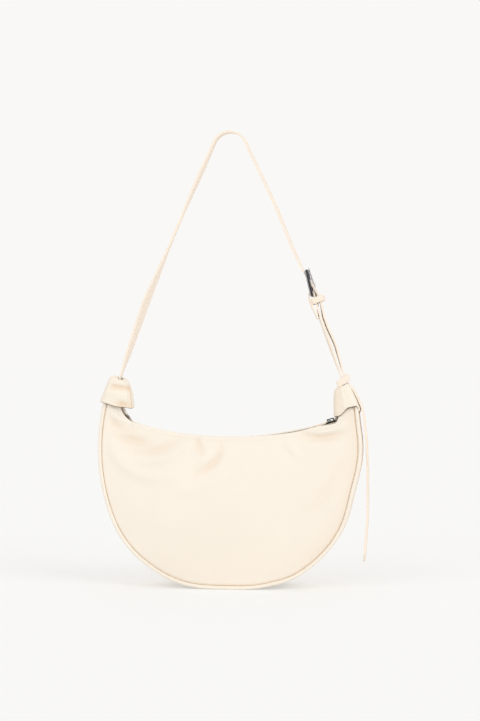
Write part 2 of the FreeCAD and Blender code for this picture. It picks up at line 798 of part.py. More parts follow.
prong_tip = in_frame(frame_length + 3.4, frame_bar / 2 + prong_thickness / 2 + 0.15)
prong_vertices = [in_frame(0.6, 0.5), in_frame(8.0, 6.2), prong_tip]
buckle_prong = ribbon(prong_vertices, [0, 6.0, 0], prong_thickness, prong_width)
eye_radius = heel_diameter / 2 + 1.3
eye = Part.makeCylinder(eye_radius, prong_width, heel - Vector(0, prong_width / 2, 0), Vector(0, 1, 0))
eye_bore = Part.makeCylinder(heel_diameter / 2 + 0.05, 20, heel - Vector(0, 10, 0), Vector(0, 1, 0))
buckle_prong = buckle_prong.fuse(eye).cut(eye_bore).removeSplitter()


# Loops round the strap layers
def keeper(down, out_low):
    half_y = strap_width / 2 + keeper_side_gap
    low = Vector(out_low, -half_y, -keeper_length / 2)
    high = Vector(out_low + keeper_inside, half_y, keeper_length / 2)
    wall = Vector(keeper_wall, keeper_wall, 0)
    loop = box_between(low - wall, high + wall)
    corners = [e for e in loop.Edges if abs(e.Vertexes[0].Z - e.Vertexes[1].Z) > 1]
    loop = loop.makeFillet(2.2, corners)
    loop = loop.cut(box_between(low - Vector(0, 0, 5), high + Vector(0, 0, 5)))
    loop.rotate(Vector(0, 0, 0), Vector(0, 1, 0), math.degrees(math.atan2(short_up.x, short_up.z)))
    loop.translate(heel - short_up * down)
    return loop


upper_low = -fold_radius - short_thickness / 2 - layer_gap
upper_keeper = keeper(upper_keeper_at, upper_low)
lower_low = bow_out + strap_thickness / 2 + layer_gap - keeper_inside
lower_keeper = keeper(keeper_low - keeper_length / 2, lower_low)

nodes = {
    "front_panel": front_panel,
    "back_panel": mirrored(front_panel),
    "gusset": gusset,
    "front_piping": front_piping,
    "back_piping": mirrored(front_piping),
    "front_piping_cord": front_piping_cord,
    "back_piping_cord": mirrored(front_piping_cord),
    "front_lining": front_lining,
    "back_lining": mirrored(front_lining),
    "gusset_lining": gusset_lining,
    "front_zip_tape": front_zip_tape,
    "back_zip_tape": mirrored(front_zip_tape),
    "front_zip_teeth": front_zip_teeth,
    "back_zip_teeth": back_zip_teeth,
    "zip_top_stops": zip_top_stops,
    "zip_bottom_stop": zip_bottom_stop,
    "zip_slider": zip_slider,
    "zip_pull": zip_pull,
    "left_end_cap": left_end_cap,
    "right_end_cap": right_end_cap,
    "left_anchor_tab": left_anchor_tab,
    "right_anchor_tab": right_anchor_tab,
    "left_anchor_rivet": left_anchor_rivet,
    "right_anchor_rivet": right_anchor_rivet,
    "long_strap": long_strap,
    "strap_tail": strap_tail,
    "buckle_strap": buckle_strap,
    "buckle_frame": buckle_frame,
    "buckle_prong": buckle_prong,
    "upper_keeper": upper_keeper,
    "lower_keeper": lower_keeper,
}

os.makedirs("parts", exist_ok=True)
for name, shape in nodes.items():
    shape.exportStep("parts/%s.step" % name)

# Joint points, for reading off
print("zip centre", zip_centre, "travel", zip_closed_at + zip_open_at)
print("pull pivot", zip_pull_pivot)
print("strap axis", left_anchor, right_anchor, swing_axis)
print("heel", heel, "short strap up", short_up, "tail pivot", tail_pivot)
for name, shape in nodes.items():
    print(name, len(shape.Solids), shape.isValid(), round(shape.Volume), shape.BoundBox)
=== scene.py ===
import math

import bpy
import numpy as np
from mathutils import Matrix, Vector, noise


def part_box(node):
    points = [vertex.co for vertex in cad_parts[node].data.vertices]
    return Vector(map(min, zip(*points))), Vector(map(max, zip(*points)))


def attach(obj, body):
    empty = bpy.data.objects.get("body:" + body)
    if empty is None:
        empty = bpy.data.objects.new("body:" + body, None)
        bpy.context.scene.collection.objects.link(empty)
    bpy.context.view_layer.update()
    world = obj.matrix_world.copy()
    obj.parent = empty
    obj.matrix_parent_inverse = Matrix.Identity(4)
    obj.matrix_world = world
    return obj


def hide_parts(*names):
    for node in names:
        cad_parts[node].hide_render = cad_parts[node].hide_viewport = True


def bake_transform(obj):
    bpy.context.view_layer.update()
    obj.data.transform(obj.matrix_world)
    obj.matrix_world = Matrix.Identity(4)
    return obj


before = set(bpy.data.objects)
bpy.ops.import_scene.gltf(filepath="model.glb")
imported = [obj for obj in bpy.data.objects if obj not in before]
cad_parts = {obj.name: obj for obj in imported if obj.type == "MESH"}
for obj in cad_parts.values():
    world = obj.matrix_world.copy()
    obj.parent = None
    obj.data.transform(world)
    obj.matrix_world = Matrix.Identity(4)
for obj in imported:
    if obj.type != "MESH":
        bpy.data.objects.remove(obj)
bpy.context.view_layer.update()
scene = bpy.context.scene

# Sizes are in millimetres, as in the solids, and turn into metres when a mesh is made
MM = 0.001
BAG, STRAP, TAIL, LOOP, PRONG, PULL = "bag", "strap", "tail", "lower_loop", "prong", "pull"

# The two faces of the bag, by the sign of y
FRONT, BACK = -1, 1
FACES = (("front", FRONT), ("back", BACK))

# Body outline: flat base, then three arcs up to the horn, each (centre x, centre z, radius, from, to)
BASE_HALF = 32.0
STAND = 0.4
OUTLINE_ARCS = [
    (32.0, 99.6, 100.0, 0.0, 0.5236),
    (9.5, 138.571, 145.0, 0.5236, 1.19555),
    (-76.098, 172.289, 237.0, 1.19555, 1.82548),
]
# Mouth: the zip's arc, a round corner, then straight up the inner edge of the horn
MOUTH_ARCS = [
    (0.0, 599.5, 417.5, 0.0, 0.28670),
    (112.409, 218.225, 20.0, 0.28670, 1.82548),
]
HORN_IN = (131.0, 226.21)
# Share of the way round at which the leather ends inside the right hood
RIGHT_END = 0.984

# How the outline has settled: (size, middle, width) of soft bumps, up from the base by x and in from the
# right side by height
BASE_LIFT = 1.1
BASE_BUMPS = [(2.0, -80, 36), (1.6, 56, 20)]
SIDE_BUMPS = [(3.0, 116, 30), (1.8, 200, 22)]

# Width of the gusset at the base and at the horns, width of the mouth, and swell of a panel
GUSSET, GUSSET_END, MOUTH_WIDTH, BELLY = 70.0, 17.0, 22.6, 13.0
# Thickness of the leather, the bead and its cord, and how deep the panel sinks at the bead
LEATHER, PIPING, CORD, SEAM_DEPTH = 1.4, 4.6, 2.6, 1.6
# Lip along the mouth: how far it is folded in, where its stitches run, and what the fold adds in thickness
LIP_FOLD, LIP_STITCH, LIP_DOUBLE = 7.0, 4.2, 1.0

# Zip: its arc, and the tapes' end in degrees, edges and thickness
ZIP_CENTRE, ZIP_RADIUS = 599.5, 420.0
TAPE_END, TAPE_EDGE, TAPE_INNER, TAPE_THICK = 18.25, 10.3, 1.2, 0.8

# Straps
STRAP_HALF, STRAP_THICK, SHORT_THICK = 10.0, 2.4, 2.2


# Small helpers
def unit(v):
    return v / np.linalg.norm(v)


def ease(x, start, stop):
    # goes softly from 0 at start to 1 at stop
    x = np.clip((x - start) / (stop - start), 0.0, 1.0)
    return x * x * (3 - 2 * x)


def bell(x, middle, width):
    return np.exp(-(((x - middle) / width) ** 2))


def bumps(x, rows):
    return sum(size * bell(x, middle, width) for size, middle, width in rows)


def slow_noise(x, z, scale, seed):
    return noise.noise(Vector((x * scale, seed, z * scale)))


def turns(count):
    # angles of a full round in equal steps
    return [math.tau * k / count for k in range(count)]


def round_square(turn, power):
    # point on a square of half side 1 with round corners, tighter with a higher power
    c, d = math.cos(turn), math.sin(turn)
    size = (abs(c) ** power + abs(d) ** power) ** (-1 / power)
    return size * c, size * d


def lengths_along(line):
    steps = np.linalg.norm(np.diff(line, axis=0), axis=1)
    return np.concatenate([[0], np.cumsum(steps)])


# Tracks of the outline and of the mouth, by share s of the way from left to right
def track_pieces(start_half, start_z, arcs, end):
    pieces = []
    if start_half:
        pieces.append((start_half, lambda a: (np.array([a, start_z]), np.array([0.0, 1.0]))))
    for cx, cz, radius, a0, a1 in arcs:
        def on_arc(a, cx=cx, cz=cz, radius=radius, a0=a0):
            turn = a0 + a / radius
            way = np.array([math.sin(turn), -math.cos(turn)])
            return np.array([cx, cz]) + way * radius, -way
        pieces.append((radius * (a1 - a0), on_arc))
    if end is not None:
        corner, normal = pieces[-1][1](pieces[-1][0])
        run = np.array(end) - corner
        length = np.linalg.norm(run)
        pieces.append((length, lambda a: (corner + run * (a / length), normal)))
    return pieces


OUTLINE = track_pieces(BASE_HALF, -STAND, OUTLINE_ARCS, None)
MOUTH = track_pieces(0.0, 0.0, MOUTH_ARCS, HORN_IN)


def spot(track, s):
    # point on a track and the way inwards from it
    run = (2 * s - 1) * sum(length for length, _ in track)
    left = abs(run)
    for length, at in track:
        if left <= length or at is track[-1][1]:
            break
        left -= length
    point, normal = at(min(left, length))
    if run < 0:
        return np.array([-point[0], point[1]]), np.array([-normal[0], normal[1]])
    return point, normal


def edge_spot(s):
    # the outline as the leather has settled: up beside the flat of the base, and in along the right side
    point, normal = spot(OUTLINE, s)
    x, z = point
    lift = BASE_LIFT * ease(abs(x), 15, 45) + bumps(x, BASE_BUMPS)
    draw = bumps(z, SIDE_BUMPS) * ease(x, 60, 100)
    return point + np.array([-draw, lift * ease(z, 70, 20)]), normal


def fullness(s):
    return math.sin(math.pi * s)


def half_gusset(s):
    return GUSSET_END / 2 + (GUSSET - GUSSET_END) / 2 * fullness(s)


def half_depth(s, t):
    # of the bag at share t of the way from the seam to the mouth
    swell = BELLY * fullness(s) ** 2 * 4 * t * (1 - t)
    return half_gusset(s) * (1 - t) + MOUTH_WIDTH / 2 * t + swell


# Meshes
def add_mesh(name, points, faces, material):
    mesh = bpy.data.meshes.new(name)
    mesh.from_pydata([tuple(float(c) * MM for c in p) for p in points], [], faces)
    mesh.validate()
    mesh.update()
    mesh.shade_smooth()
    piece = bpy.data.objects.new(name, mesh)
    piece.data.materials.append(material)
    scene.collection.objects.link(piece)
    return piece


def place(piece, body, slot, *nodes):
    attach(piece, body)
    if nodes:
        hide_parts(*nodes)


def skin(rows, count, closed=False, base=0):
    # faces over rows of equally many points; the ends are closed by a face, or joined to each other
    faces = []
    for i in range(rows if closed else rows - 1):
        here = base + i * count
        there = base + (i + 1) % rows * count
        for j in range(count):
            k = (j + 1) % count
            faces.append((here + j, here + k, there + k, there + j))
    if not closed:
        faces.append(tuple(reversed(range(base, base + count))))
        faces.append(tuple(range(base + (rows - 1) * count, base + rows * count)))
    return faces


def turn_outward(piece):
    # a closed skin whose volume comes out negative is inside out
    mesh = piece.data
    mesh.calc_loop_triangles()
    volume = 0.0
    for tri in mesh.loop_triangles:
        a, b, c = (mesh.vertices[i].co for i in tri.vertices)
        volume += a.dot(b.cross(c))
    if volume < 0:
        mesh.flip_normals()


def loft(name, rings, material, closed=False):
    points = [p for ring in rings for p in ring]
    piece = add_mesh(name, points, skin(len(rings), len(rings[0]), closed), material)
    turn_outward(piece)
    return piece


def soften(piece, levels):
    mod = piece.modifiers.new("round", "SUBSURF")
    mod.levels = levels
    mod.render_levels = levels
    return piece


def paint_shade(piece, values):
    # painted shade at each point, which darkens and warms the leather's colour where shade falls
    marks = piece.data.attributes.new("painted_shade", "FLOAT", "POINT")
    marks.data.foreach_set("value", [float(v) for v in values])


# Materials
# Cream of the leather, and the tint that paints shade into creases and shaded places
CREAM, PAINTED_SHADE_TINT = (0.92, 0.824, 0.71), (0.90, 0.77, 0.64)
# Scale of the wave texture for one wave in a millimetre
ONE_WAVE = 314.0


def feed(tree, node, inputs):
    # a socket among the inputs is linked, and any other value is set
    for key, value in inputs.items():
        if isinstance(value, bpy.types.NodeSocket):
            tree.links.new(value, node.inputs[key])
        else:
            node.inputs[key].default_value = value


def add_node(tree, kind, inputs):
    node = tree.nodes.new("ShaderNode" + kind)
    feed(tree, node, inputs)
    return node


def new_material(name):
    material = bpy.data.materials.new(name)
    material.use_nodes = True
    tree = material.node_tree
    coords = add_node(tree, "TexCoord", {})
    return material, tree, tree.nodes["Principled BSDF"], coords.outputs["Object"]


def noise_node(tree, coords, scale, detail):
    return add_node(tree, "TexNoise", {"Vector": coords, "Scale": scale, "Detail": detail}).outputs["Fac"]


def ramp(tree, source, low, high, start=0.3, stop=0.7):
    node = add_node(tree, "ValToRGB", {"Fac": source})
    for element, position, colour in zip(node.color_ramp.elements, (start, stop), (low, high)):
        element.position = position
        element.color = (*colour, 1)
    return node.outputs["Color"]


def span(tree, source, low, high):
    return add_node(tree, "MapRange", {"Value": source, "To Min": low, "To Max": high}).outputs["Result"]


def bump(tree, height, strength, distance, under=None):
    node = add_node(tree, "Bump", {"Height": height, "Strength": strength, "Distance": distance})
    if under is not None:
        tree.links.new(under, node.inputs["Normal"])
    return node.outputs["Normal"]


def shade(colour, share):
    return tuple(c * share for c in colour)


def leather_material(name, colour, rough, grain_depth=0.22):
    # the leather is painted warmer and darker where its mesh carries painted shade, in creases and shaded
    # places
    material, tree, shader, coords = new_material(name)
    clouds = noise_node(tree, coords, scale=14.0, detail=4.0)
    # mesh attribute of painted shade, which mixes in the shade tint
    shade_marks = tree.nodes.new("ShaderNodeAttribute")
    shade_marks.attribute_name = "painted_shade"
    tint = tree.nodes.new("ShaderNodeMix")
    tint.data_type = "RGBA"
    feed(tree, tint, {
        "Factor": shade_marks.outputs["Fac"],
        "A": ramp(tree, clouds, shade(colour, 0.975), colour),
        "B": (*(c * f for c, f in zip(colour, PAINTED_SHADE_TINT)), 1),
    })
    gloss = noise_node(tree, coords, scale=60.0, detail=3.0)
    pebble = add_node(tree, "TexVoronoi", {"Vector": coords, "Scale": 850.0})
    pebble.feature = "DISTANCE_TO_EDGE"
    grain = bump(tree, pebble.outputs["Distance"], strength=grain_depth, distance=0.00025)
    fine = noise_node(tree, coords, scale=1500.0, detail=3.0)
    pores = bump(tree, fine, strength=0.10, distance=0.0002, under=grain)
    soft = noise_node(tree, coords, scale=45.0, detail=2.0)
    feed(tree, shader, {
        "Base Color": tint.outputs["Result"],
        "Roughness": span(tree, gloss, rough - 0.05, rough + 0.07),
        "Normal": bump(tree, soft, strength=0.12, distance=0.0012, under=pores),
        "Specular IOR Level": 0.42,
    })
    return material


def metal_material(name, colour, rough):
    material, tree, shader, coords = new_material(name)
    clouds = noise_node(tree, coords, scale=120.0, detail=4.0)
    wear = noise_node(tree, coords, scale=500.0, detail=3.0)
    scratch = noise_node(tree, coords, scale=2200.0, detail=2.0)
    feed(tree, shader, {
        "Metallic": 1.0,
        "Base Color": ramp(tree, clouds, shade(colour, 0.8), shade(colour, 1.15)),
        "Roughness": span(tree, wear, rough - 0.06, rough + 0.1),
        "Normal": bump(tree, scratch, strength=0.05, distance=0.0001),
    })
    return material


def cloth_material(name, colour, pitch):
    # plain weave: two crossed sets of threads at a pitch in millimetres
    material, tree, shader, coords = new_material(name)
    clouds = noise_node(tree, coords, scale=300.0, detail=3.0)
    normal = None
    for way in ("X", "Z"):
        threads = add_node(tree, "TexWave", {"Vector": coords, "Scale": ONE_WAVE / pitch, "Distortion": 0.6})
        threads.wave_type = "BANDS"
        threads.bands_direction = way
        normal = bump(tree, threads.outputs["Fac"], strength=0.35, distance=0.0002, under=normal)
    feed(tree, shader, {
        "Base Color": ramp(tree, clouds, shade(colour, 0.9), colour),
        "Roughness": 0.85,
        "Sheen Weight": 0.15,
        "Normal": normal,
    })
    return material


leather = leather_material("cream_leather", CREAM, 0.50)
# copy of the cream leather for straps, loops and pull, its colour shifted to offset how the lamps light the
# straps: painted light and shade
toned_strap_leather = leather_material("cream_toned_strap_leather", (0.955, 0.82, 0.69), 0.46, 0.09)
side_leather = leather_material("cream_side_leather", (0.93, 0.835, 0.712), 0.48)
# a lighter copy of the cream leather for the gusset: painted light against the shade between gusset and
# strap tail
lit_gusset_leather = leather_material("cream_lit_gusset_leather", (0.97, 0.845, 0.72), 0.48)
# dark brown leather for a strip below the hoods' hems: a painted shadow line under the hem
painted_hem_shadow = leather_material("painted_hem_shadow_edge", (0.20, 0.12, 0.06), 0.75)
gunmetal = metal_material("gunmetal", (0.05, 0.048, 0.052), 0.18)
# lighter metal on chosen faces of the buckle and on the prong: painted glints
painted_glint_metal = metal_material("painted_glint_metal_edge", (0.56, 0.54, 0.57), 0.16)
# near-black metal for the zip slider: painted shade from the hood above it
shaded_slider_metal = metal_material("shaded_slider_metal", (0.03, 0.027, 0.024), 0.30)
tooth_metal = metal_material("tooth_metal", (0.10, 0.097, 0.098), 0.28)
tape_cloth = cloth_material("zip_tape_cloth", (0.80, 0.70, 0.56), 0.6)
lining_cloth = cloth_material("lining_cloth", (0.62, 0.53, 0.41), 0.5)
cord_cloth = cloth_material("cord_cloth", (0.80, 0.74, 0.64), 0.8)
thread = cloth_material("thread", (0.93, 0.85, 0.72), 0.3)
# tan seam thread, darkened to paint the shadow line in the sunk seam
seam_shadow_thread = cloth_material("seam_shadow_thread", (0.70, 0.50, 0.31), 0.3)

# Soft creases on a panel: three points (x, z) of each, half width and depth; a minus depth is a ridge
CREASE_SCALE = 2.2
FRONT_CREASES = [
    ((-136, 181), (-118, 176), (-100, 174), 6.0, 1.5),
    ((-143, 170), (-128, 128), (-62, 132), 7.0, -1.1),
    ((-118, 152), (-78, 148), (-48, 178), 6.0, -1.2),
    ((-112, 163), (-84, 160), (-60, 176), 6.5, 1.2),
    ((-44, 179), (-36, 172), (-34, 160), 5.0, 1.1),
    ((-9, 170), (-14, 146), (-38, 138), 5.0, 1.4),
    ((-24, 166), (-28, 154), (-44, 148), 5.0, -1.0),
    ((-4, 140), (-24, 116), (-60, 117), 7.0, -0.8),
    ((138, 187), (112, 178), (90, 184), 5.5, 1.6),
    ((136, 196), (118, 186), (100, 187), 4.0, -1.0),
    ((66, 178), (78, 166), (86, 158), 5.0, -0.9),
    ((140, 158), (128, 126), (100, 96), 9.0, 0.5),
    ((-148, 213), (-136, 202), (-118, 197), 4.5, -1.3),
    ((-152, 205), (-138, 190), (-116, 189), 6.0, 1.2),
]
BACK_CREASES = [
    ((140, 182), (116, 172), (92, 176), 6.5, 1.4),
    ((140, 166), (118, 130), (58, 134), 8.0, -1.1),
    ((40, 180), (34, 164), (22, 152), 4.5, 1.2),
    ((-138, 180), (-112, 172), (-84, 178), 6.0, 1.4),
    ((-128, 160), (-104, 132), (-70, 122), 8.0, -0.9),
    ((10, 168), (-6, 150), (-30, 150), 6.0, 0.9),
]
CREASES = {FRONT: FRONT_CREASES, BACK: BACK_CREASES}


def crease_field(creases, x, z):
    # how far the creases push a point inwards; each is a soft valley along a curve and fades at its ends
    total = np.zeros_like(x)
    shares = np.linspace(0, 1, 25)
    for a, b, c, width, depth in creases:
        a, b, c = (np.array(p, float) for p in (a, b, c))
        curve = [a * (1 - u) ** 2 + b * 2 * u * (1 - u) + c * u * u for u in shares]
        gap = np.stack([np.hypot(x - p[0], z - p[1]) for p in curve])
        nearest = np.argmin(gap, axis=0)
        fade = np.sin(np.pi * (0.12 + 0.76 * shares[nearest]))
        total += depth * fade * bell(gap.min(axis=0), 0, width)
    return CREASE_SCALE * total


# The soft lips settle out of line with the zip. Along the arc, (x, shift z) rows say how far the lip has
# moved; round each corner and up the horn, (height, shift x, shift z) rows do
FRONT_DROP = [
    (-118, -1.3), (-94, -1.3), (-65, -1.4), (-26, -1.3), (0, -1.0), (28, -1.5),
    (58, -2.4), (78, -2.8), (90, -2.8), (100, -2.3), (110, -2.2), (118, -3.6),
]
FRONT_LEFT_CORNER = [
    (199, 0.0, -1.3), (202, -0.4, -1.0), (205, -0.8, -0.6), (210, -1.6, -0.4), (217, -2.4, 0.0),
]
FRONT_RIGHT_CORNER = [
    (199, 0.5, -3.6), (204, 3.4, -5.6), (211, 2.2, -4.2), (218, 0.8, -1.5), (226, 0.0, 0.0),
]
BACK_DROP = [
    (-118, -2.4), (-104, -3.3), (-90, -3.6), (-60, -3.5), (-40, -3.0), (-20, -2.2),
    (20, -2.0), (40, -1.8), (58, -1.3), (78, -1.0), (97, -1.0), (118, -1.2),
]
BACK_LEFT_CORNER = [
    (199, 0.2, -2.4), (203, 2.4, -2.2), (208, 3.2, -0.5), (213, 2.0, 0.0), (218, 0.4, 0.0), (226, -0.6, 0.0),
]
BACK_RIGHT_CORNER = [(199, 0.0, -1.6), (211, 0.0, -0.8), (226, 0.0, 0.0)]
LIP_ROWS = {
    FRONT: (FRONT_DROP, FRONT_LEFT_CORNER, FRONT_RIGHT_CORNER),
    BACK: (BACK_DROP, BACK_LEFT_CORNER, BACK_RIGHT_CORNER),
}
CORNER_FOOT = 199.05


def lip_shift(point, side):
    x, z = point
    drop, left_corner, right_corner = LIP_ROWS[side]
    if z < CORNER_FOOT:
        at, down = zip(*drop)
        return np.array([0.0, np.interp(x, at, down)])
    at, over, down = zip(*(left_corner if x < 0 else right_corner))
    return np.array([np.interp(z, at, over), np.interp(z, at, down)])


# How far each edge turns in beside the zip's end, how far above the pull's room, and how far from the lip
# that reaches
TURN_IN = {FRONT: (3.0, 3.0, 14.0), BACK: (6.5, 15.0, 15.0)}
PULL_TOP, PULL_CLEAR = 203.0, 209.0


def pinch(x, z):
    # beside the left horn the two edges are drawn together
    return ease(x, -112, -124) * ease(z, 186, 198)


# Front and back panels: outer face, a turned lip along the mouth and the inner face, in one closed skin
PANEL_STATIONS = np.linspace(0.0, RIGHT_END, 281)
OUTER_ROWS = np.concatenate([
    np.linspace(0, 0.024, 9),
    np.linspace(0.024, 0.06, 6)[1:],
    np.linspace(0.06, 0.93, 56)[1:],
    np.linspace(0.93, 1, 20)[1:],
])
INNER_ROWS = np.linspace(1, 0, 36)
PANEL_TUCK = 0.4
WAVE_SCALE, WAVE_DEPTH = 0.018, 0.7
# Distances over which the waves and the creases begin, and widths of the sunk seam and the stitch line
SEAM_CALM, LIP_CALM, CREASE_CALM, SEAM_WIDTH, GROOVE_WIDTH = 25.0, 10.0, 18.0, 2.0, 0.5
FOLD_RISE, GROOVE_DEPTH = 0.12, 0.10
# Painted shade: its share per millimetre of crease depth, and its strength and width beside the right seam
CREASE_SHADE, SIDE_SHADE, SIDE_SHADE_WIDTH = 0.14, 0.3, 14.0


def panel(face, side):
    # returns the line on which the lip is stitched
    count = len(PANEL_STATIONS)
    x = np.zeros((count, len(OUTER_ROWS)))
    z = np.zeros_like(x)
    depth = np.zeros_like(x)
    height = np.zeros(count)
    for i, s in enumerate(PANEL_STATIONS):
        edge, normal = edge_spot(s)
        edge = edge + normal * (PIPING - PANEL_TUCK)
        mouth, _ = spot(MOUTH, s)
        mouth = mouth + lip_shift(mouth, side)
        height[i] = np.linalg.norm(mouth - edge)
        for j, t in enumerate(OUTER_ROWS):
            x[i, j], z[i, j] = edge + (mouth - edge) * t
            depth[i, j] = half_depth(s, t)
    from_seam = OUTER_ROWS * height[:, None]
    from_lip = (1 - OUTER_ROWS) * height[:, None]

    # creases, slow waves, the sunk seam, the drawn-in edge and the lip's fold and stitch line
    wave = np.vectorize(slow_noise)(x, z, WAVE_SCALE, side * 7.0)
    calm = ease(from_seam, 0, SEAM_CALM) * ease(from_lip, 0, LIP_CALM)
    pressed = crease_field(CREASES[side], x, z) * ease(from_seam, 0, CREASE_CALM)
    outer = depth + LEATHER / 2 - pressed + WAVE_DEPTH * wave * calm
    outer -= SEAM_DEPTH * bell(from_seam, 0, SEAM_WIDTH)
    low, high, reach = TURN_IN[side]
    turn_in = low + (high - low) * ease(z, PULL_TOP, PULL_CLEAR)
    outer -= turn_in * pinch(x, z) * ease(from_lip, reach, 0)
    outer += FOLD_RISE * ease(from_lip, LIP_FOLD, LIP_FOLD - 2.5)
    outer -= GROOVE_DEPTH * bell(from_lip, LIP_STITCH, GROOVE_WIDTH)

    rings = []
    half_lip = (LEATHER + LIP_DOUBLE) / 2
    for i in range(count):
        ring = list(zip(x[i], side * outer[i], z[i]))
        mouth = np.array([x[i, -1], z[i, -1]])
        away = unit(mouth - np.array([x[i, -2], z[i, -2]]))
        for turn in np.linspace(0, math.pi, 7)[1:-1]:
            top = mouth + away * (half_lip * math.sin(turn))
            ring.append((top[0], side * (outer[i, -1] - half_lip * (1 - math.cos(turn))), top[1]))
        for t in INNER_ROWS:
            px, py, pz = (np.interp(t, OUTER_ROWS, row[i]) for row in (x, outer, z))
            wall = LEATHER + LIP_DOUBLE * ease((1 - t) * height[i], LIP_FOLD, LIP_FOLD - 1.6)
            ring.append((px, side * (py - wall), pz))
        rings.append(ring)
    piece = loft(face + "_panel_leather", rings, leather)
    # painted shade: the colour darkens in the creases and beside the right seam, where the panel turns from
    # the light
    shaded = CREASE_SHADE * pressed + SIDE_SHADE * bell(from_seam, 0, SIDE_SHADE_WIDTH) * ease(x, 60, 110)
    unseen = np.zeros((count, len(rings[0]) - len(OUTER_ROWS)))
    paint_shade(piece, np.hstack([np.clip(shaded, 0, 1), unseen]).ravel())
    place(piece, BAG, "cream_leather", face + "_panel")
    return [
        [np.interp(-LIP_STITCH, -from_lip[i], row[i]) for row in (x, side * outer, z)]
        for i in range(count)
    ]


lips = {side: panel(face, side) for face, side in FACES}

# Rows of thread stitches lying on the leather, between the hoods
STITCH_PITCH, STITCH_LENGTH, STITCH_THICK, STITCH_RISE = 3.4, 2.5, 0.3, 0.12
STITCH_SHARES = (0.0, 0.12, 0.35, 0.65, 0.88, 1.0)
STITCHED = slice(8, -6)


def stitches(name, line, outward):
    line = np.array(line)
    along = lengths_along(line)
    around = turns(6)
    points = []
    faces = []
    for start in np.arange(STITCH_PITCH, along[-1] - STITCH_PITCH, STITCH_PITCH):
        first = np.array([np.interp(start, along, line[:, k]) for k in range(3)])
        last = np.array([np.interp(start + STITCH_LENGTH, along, line[:, k]) for k in range(3)])
        way = unit(last - first)
        up = np.array(outward, float)
        up = unit(up - way * up.dot(way))
        cross = np.cross(way, up)
        faces += skin(len(STITCH_SHARES), len(around), base=len(points))
        for share in STITCH_SHARES:
            radius = STITCH_THICK / 2 * math.sqrt(max(1 - (2 * share - 1) ** 4, 0.02))
            centre = first + (last - first) * share + up * (STITCH_RISE * math.sin(math.pi * share))
            points += [centre + (up * math.sin(a) + cross * math.cos(a)) * radius for a in around]
    piece = add_mesh(name, points, faces, thread)
    turn_outward(piece)
    place(piece, BAG, "piping_cord")


for face, side in FACES:
    stitches(face + "_lip_stitches", lips[side][STITCHED], (0, side, 0))

# Piping: round beads along both seams, pressed flat where the bag stands
SEAM_STATIONS = np.linspace(0.0, RIGHT_END, 301)
SEAM_STEP, BEAD_FLOOR = 0.004, 0.05
# Seam thread, dark tan so that it paints the shadow line in the sunk seam: its radius, and how far it lies
# inside the bead and out of the seam
THREAD_RADIUS, THREAD_IN, THREAD_OUT = 0.5, 0.1, 0.95


def bead_centre(s, side):
    point, normal = edge_spot(s)
    point = point + normal * (PIPING / 2)
    return np.array([point[0], side * half_gusset(s), point[1]])


def piping(name, side, node, radius, material, slot):
    rings = []
    for s in SEAM_STATIONS:
        centre = bead_centre(s, side)
        way = unit(bead_centre(min(s + SEAM_STEP, 1), side) - bead_centre(max(s - SEAM_STEP, 0), side))
        out = unit(np.cross(way, (0, 1, 0)))
        other = np.cross(way, out)
        ring = [centre + (out * math.cos(a) + other * math.sin(a)) * radius for a in turns(18)]
        rings.append([(x, y, max(z, BEAD_FLOOR)) for x, y, z in ring])
    place(loft(name, rings, material), BAG, slot, node)


def seam_line(name, side):
    # tan thread between the bead and the panel, a seam thread darkened to paint the shadow line in the sunk
    # seam
    rings = []
    for s in np.linspace(SEAM_STEP, RIGHT_END - SEAM_STEP, 301):
        point, normal = edge_spot(s)
        middle = point + normal * (PIPING + THREAD_IN)
        middle_y = half_gusset(s) - SEAM_DEPTH + THREAD_OUT
        ring = []
        for a in turns(8):
            x, z = middle + normal * (THREAD_RADIUS * math.cos(a))
            ring.append((x, side * (middle_y + THREAD_RADIUS * math.sin(a)), z))
        rings.append(ring)
    place(loft(name, rings, seam_shadow_thread), BAG, "piping_cord")


for face, side in FACES:
    seam_line(face + "_seam_shadow_thread", side)
for face, side in FACES:
    piping(face + "_piping_leather", side, face + "_piping", PIPING / 2, leather, "cream_leather")
    piping(face + "_piping_core", side, face + "_piping_cord", CORD / 2, cord_cloth, "piping_cord")

# Gusset: a band between the beads, drawn in a little along its middle, and resting on the floor
GUSSET_TUCK, GUSSET_CURL, GUSSET_HOLLOW = 0.3, 0.4, 0.9
GUSSET_FLOOR, GUSSET_INNER_FLOOR = 0.03, 0.9


def gusset():
    rings = []
    for s in SEAM_STATIONS:
        point, normal = edge_spot(s)
        half = half_gusset(s) - PIPING / 2 + GUSSET_TUCK
        free = ease(abs(s - 0.5), 0.10, 0.22)
        ring = []
        for v in np.linspace(-1, 1, 17):
            x, z = point + normal * (GUSSET_CURL * abs(v) ** 12 - free * GUSSET_HOLLOW * (1 - v * v))
            ring.append((x, v * half, max(z, GUSSET_FLOOR)))
        x, z = point + normal * (LEATHER + STAND)
        ring += [(x, v * half, max(z, GUSSET_INNER_FLOOR)) for v in np.linspace(1, -1, 9)]
        rings.append(ring)
    place(loft("lit_gusset_leather", rings, lit_gusset_leather), BAG, "cream_leather", "gusset")


gusset()

# Lining: a loose cloth bag inside the leather
LINING_FROM, LINING_TO, LINING_HEIGHT = 0.1, 0.9, 0.92
LINING_THICK, LINING_GAP, LINING_SLACK, SLACK_SCALE = 0.6, 2.2, 0.5, 0.05
LINING_EDGE, LINING_INSET = 1.0, 4.0


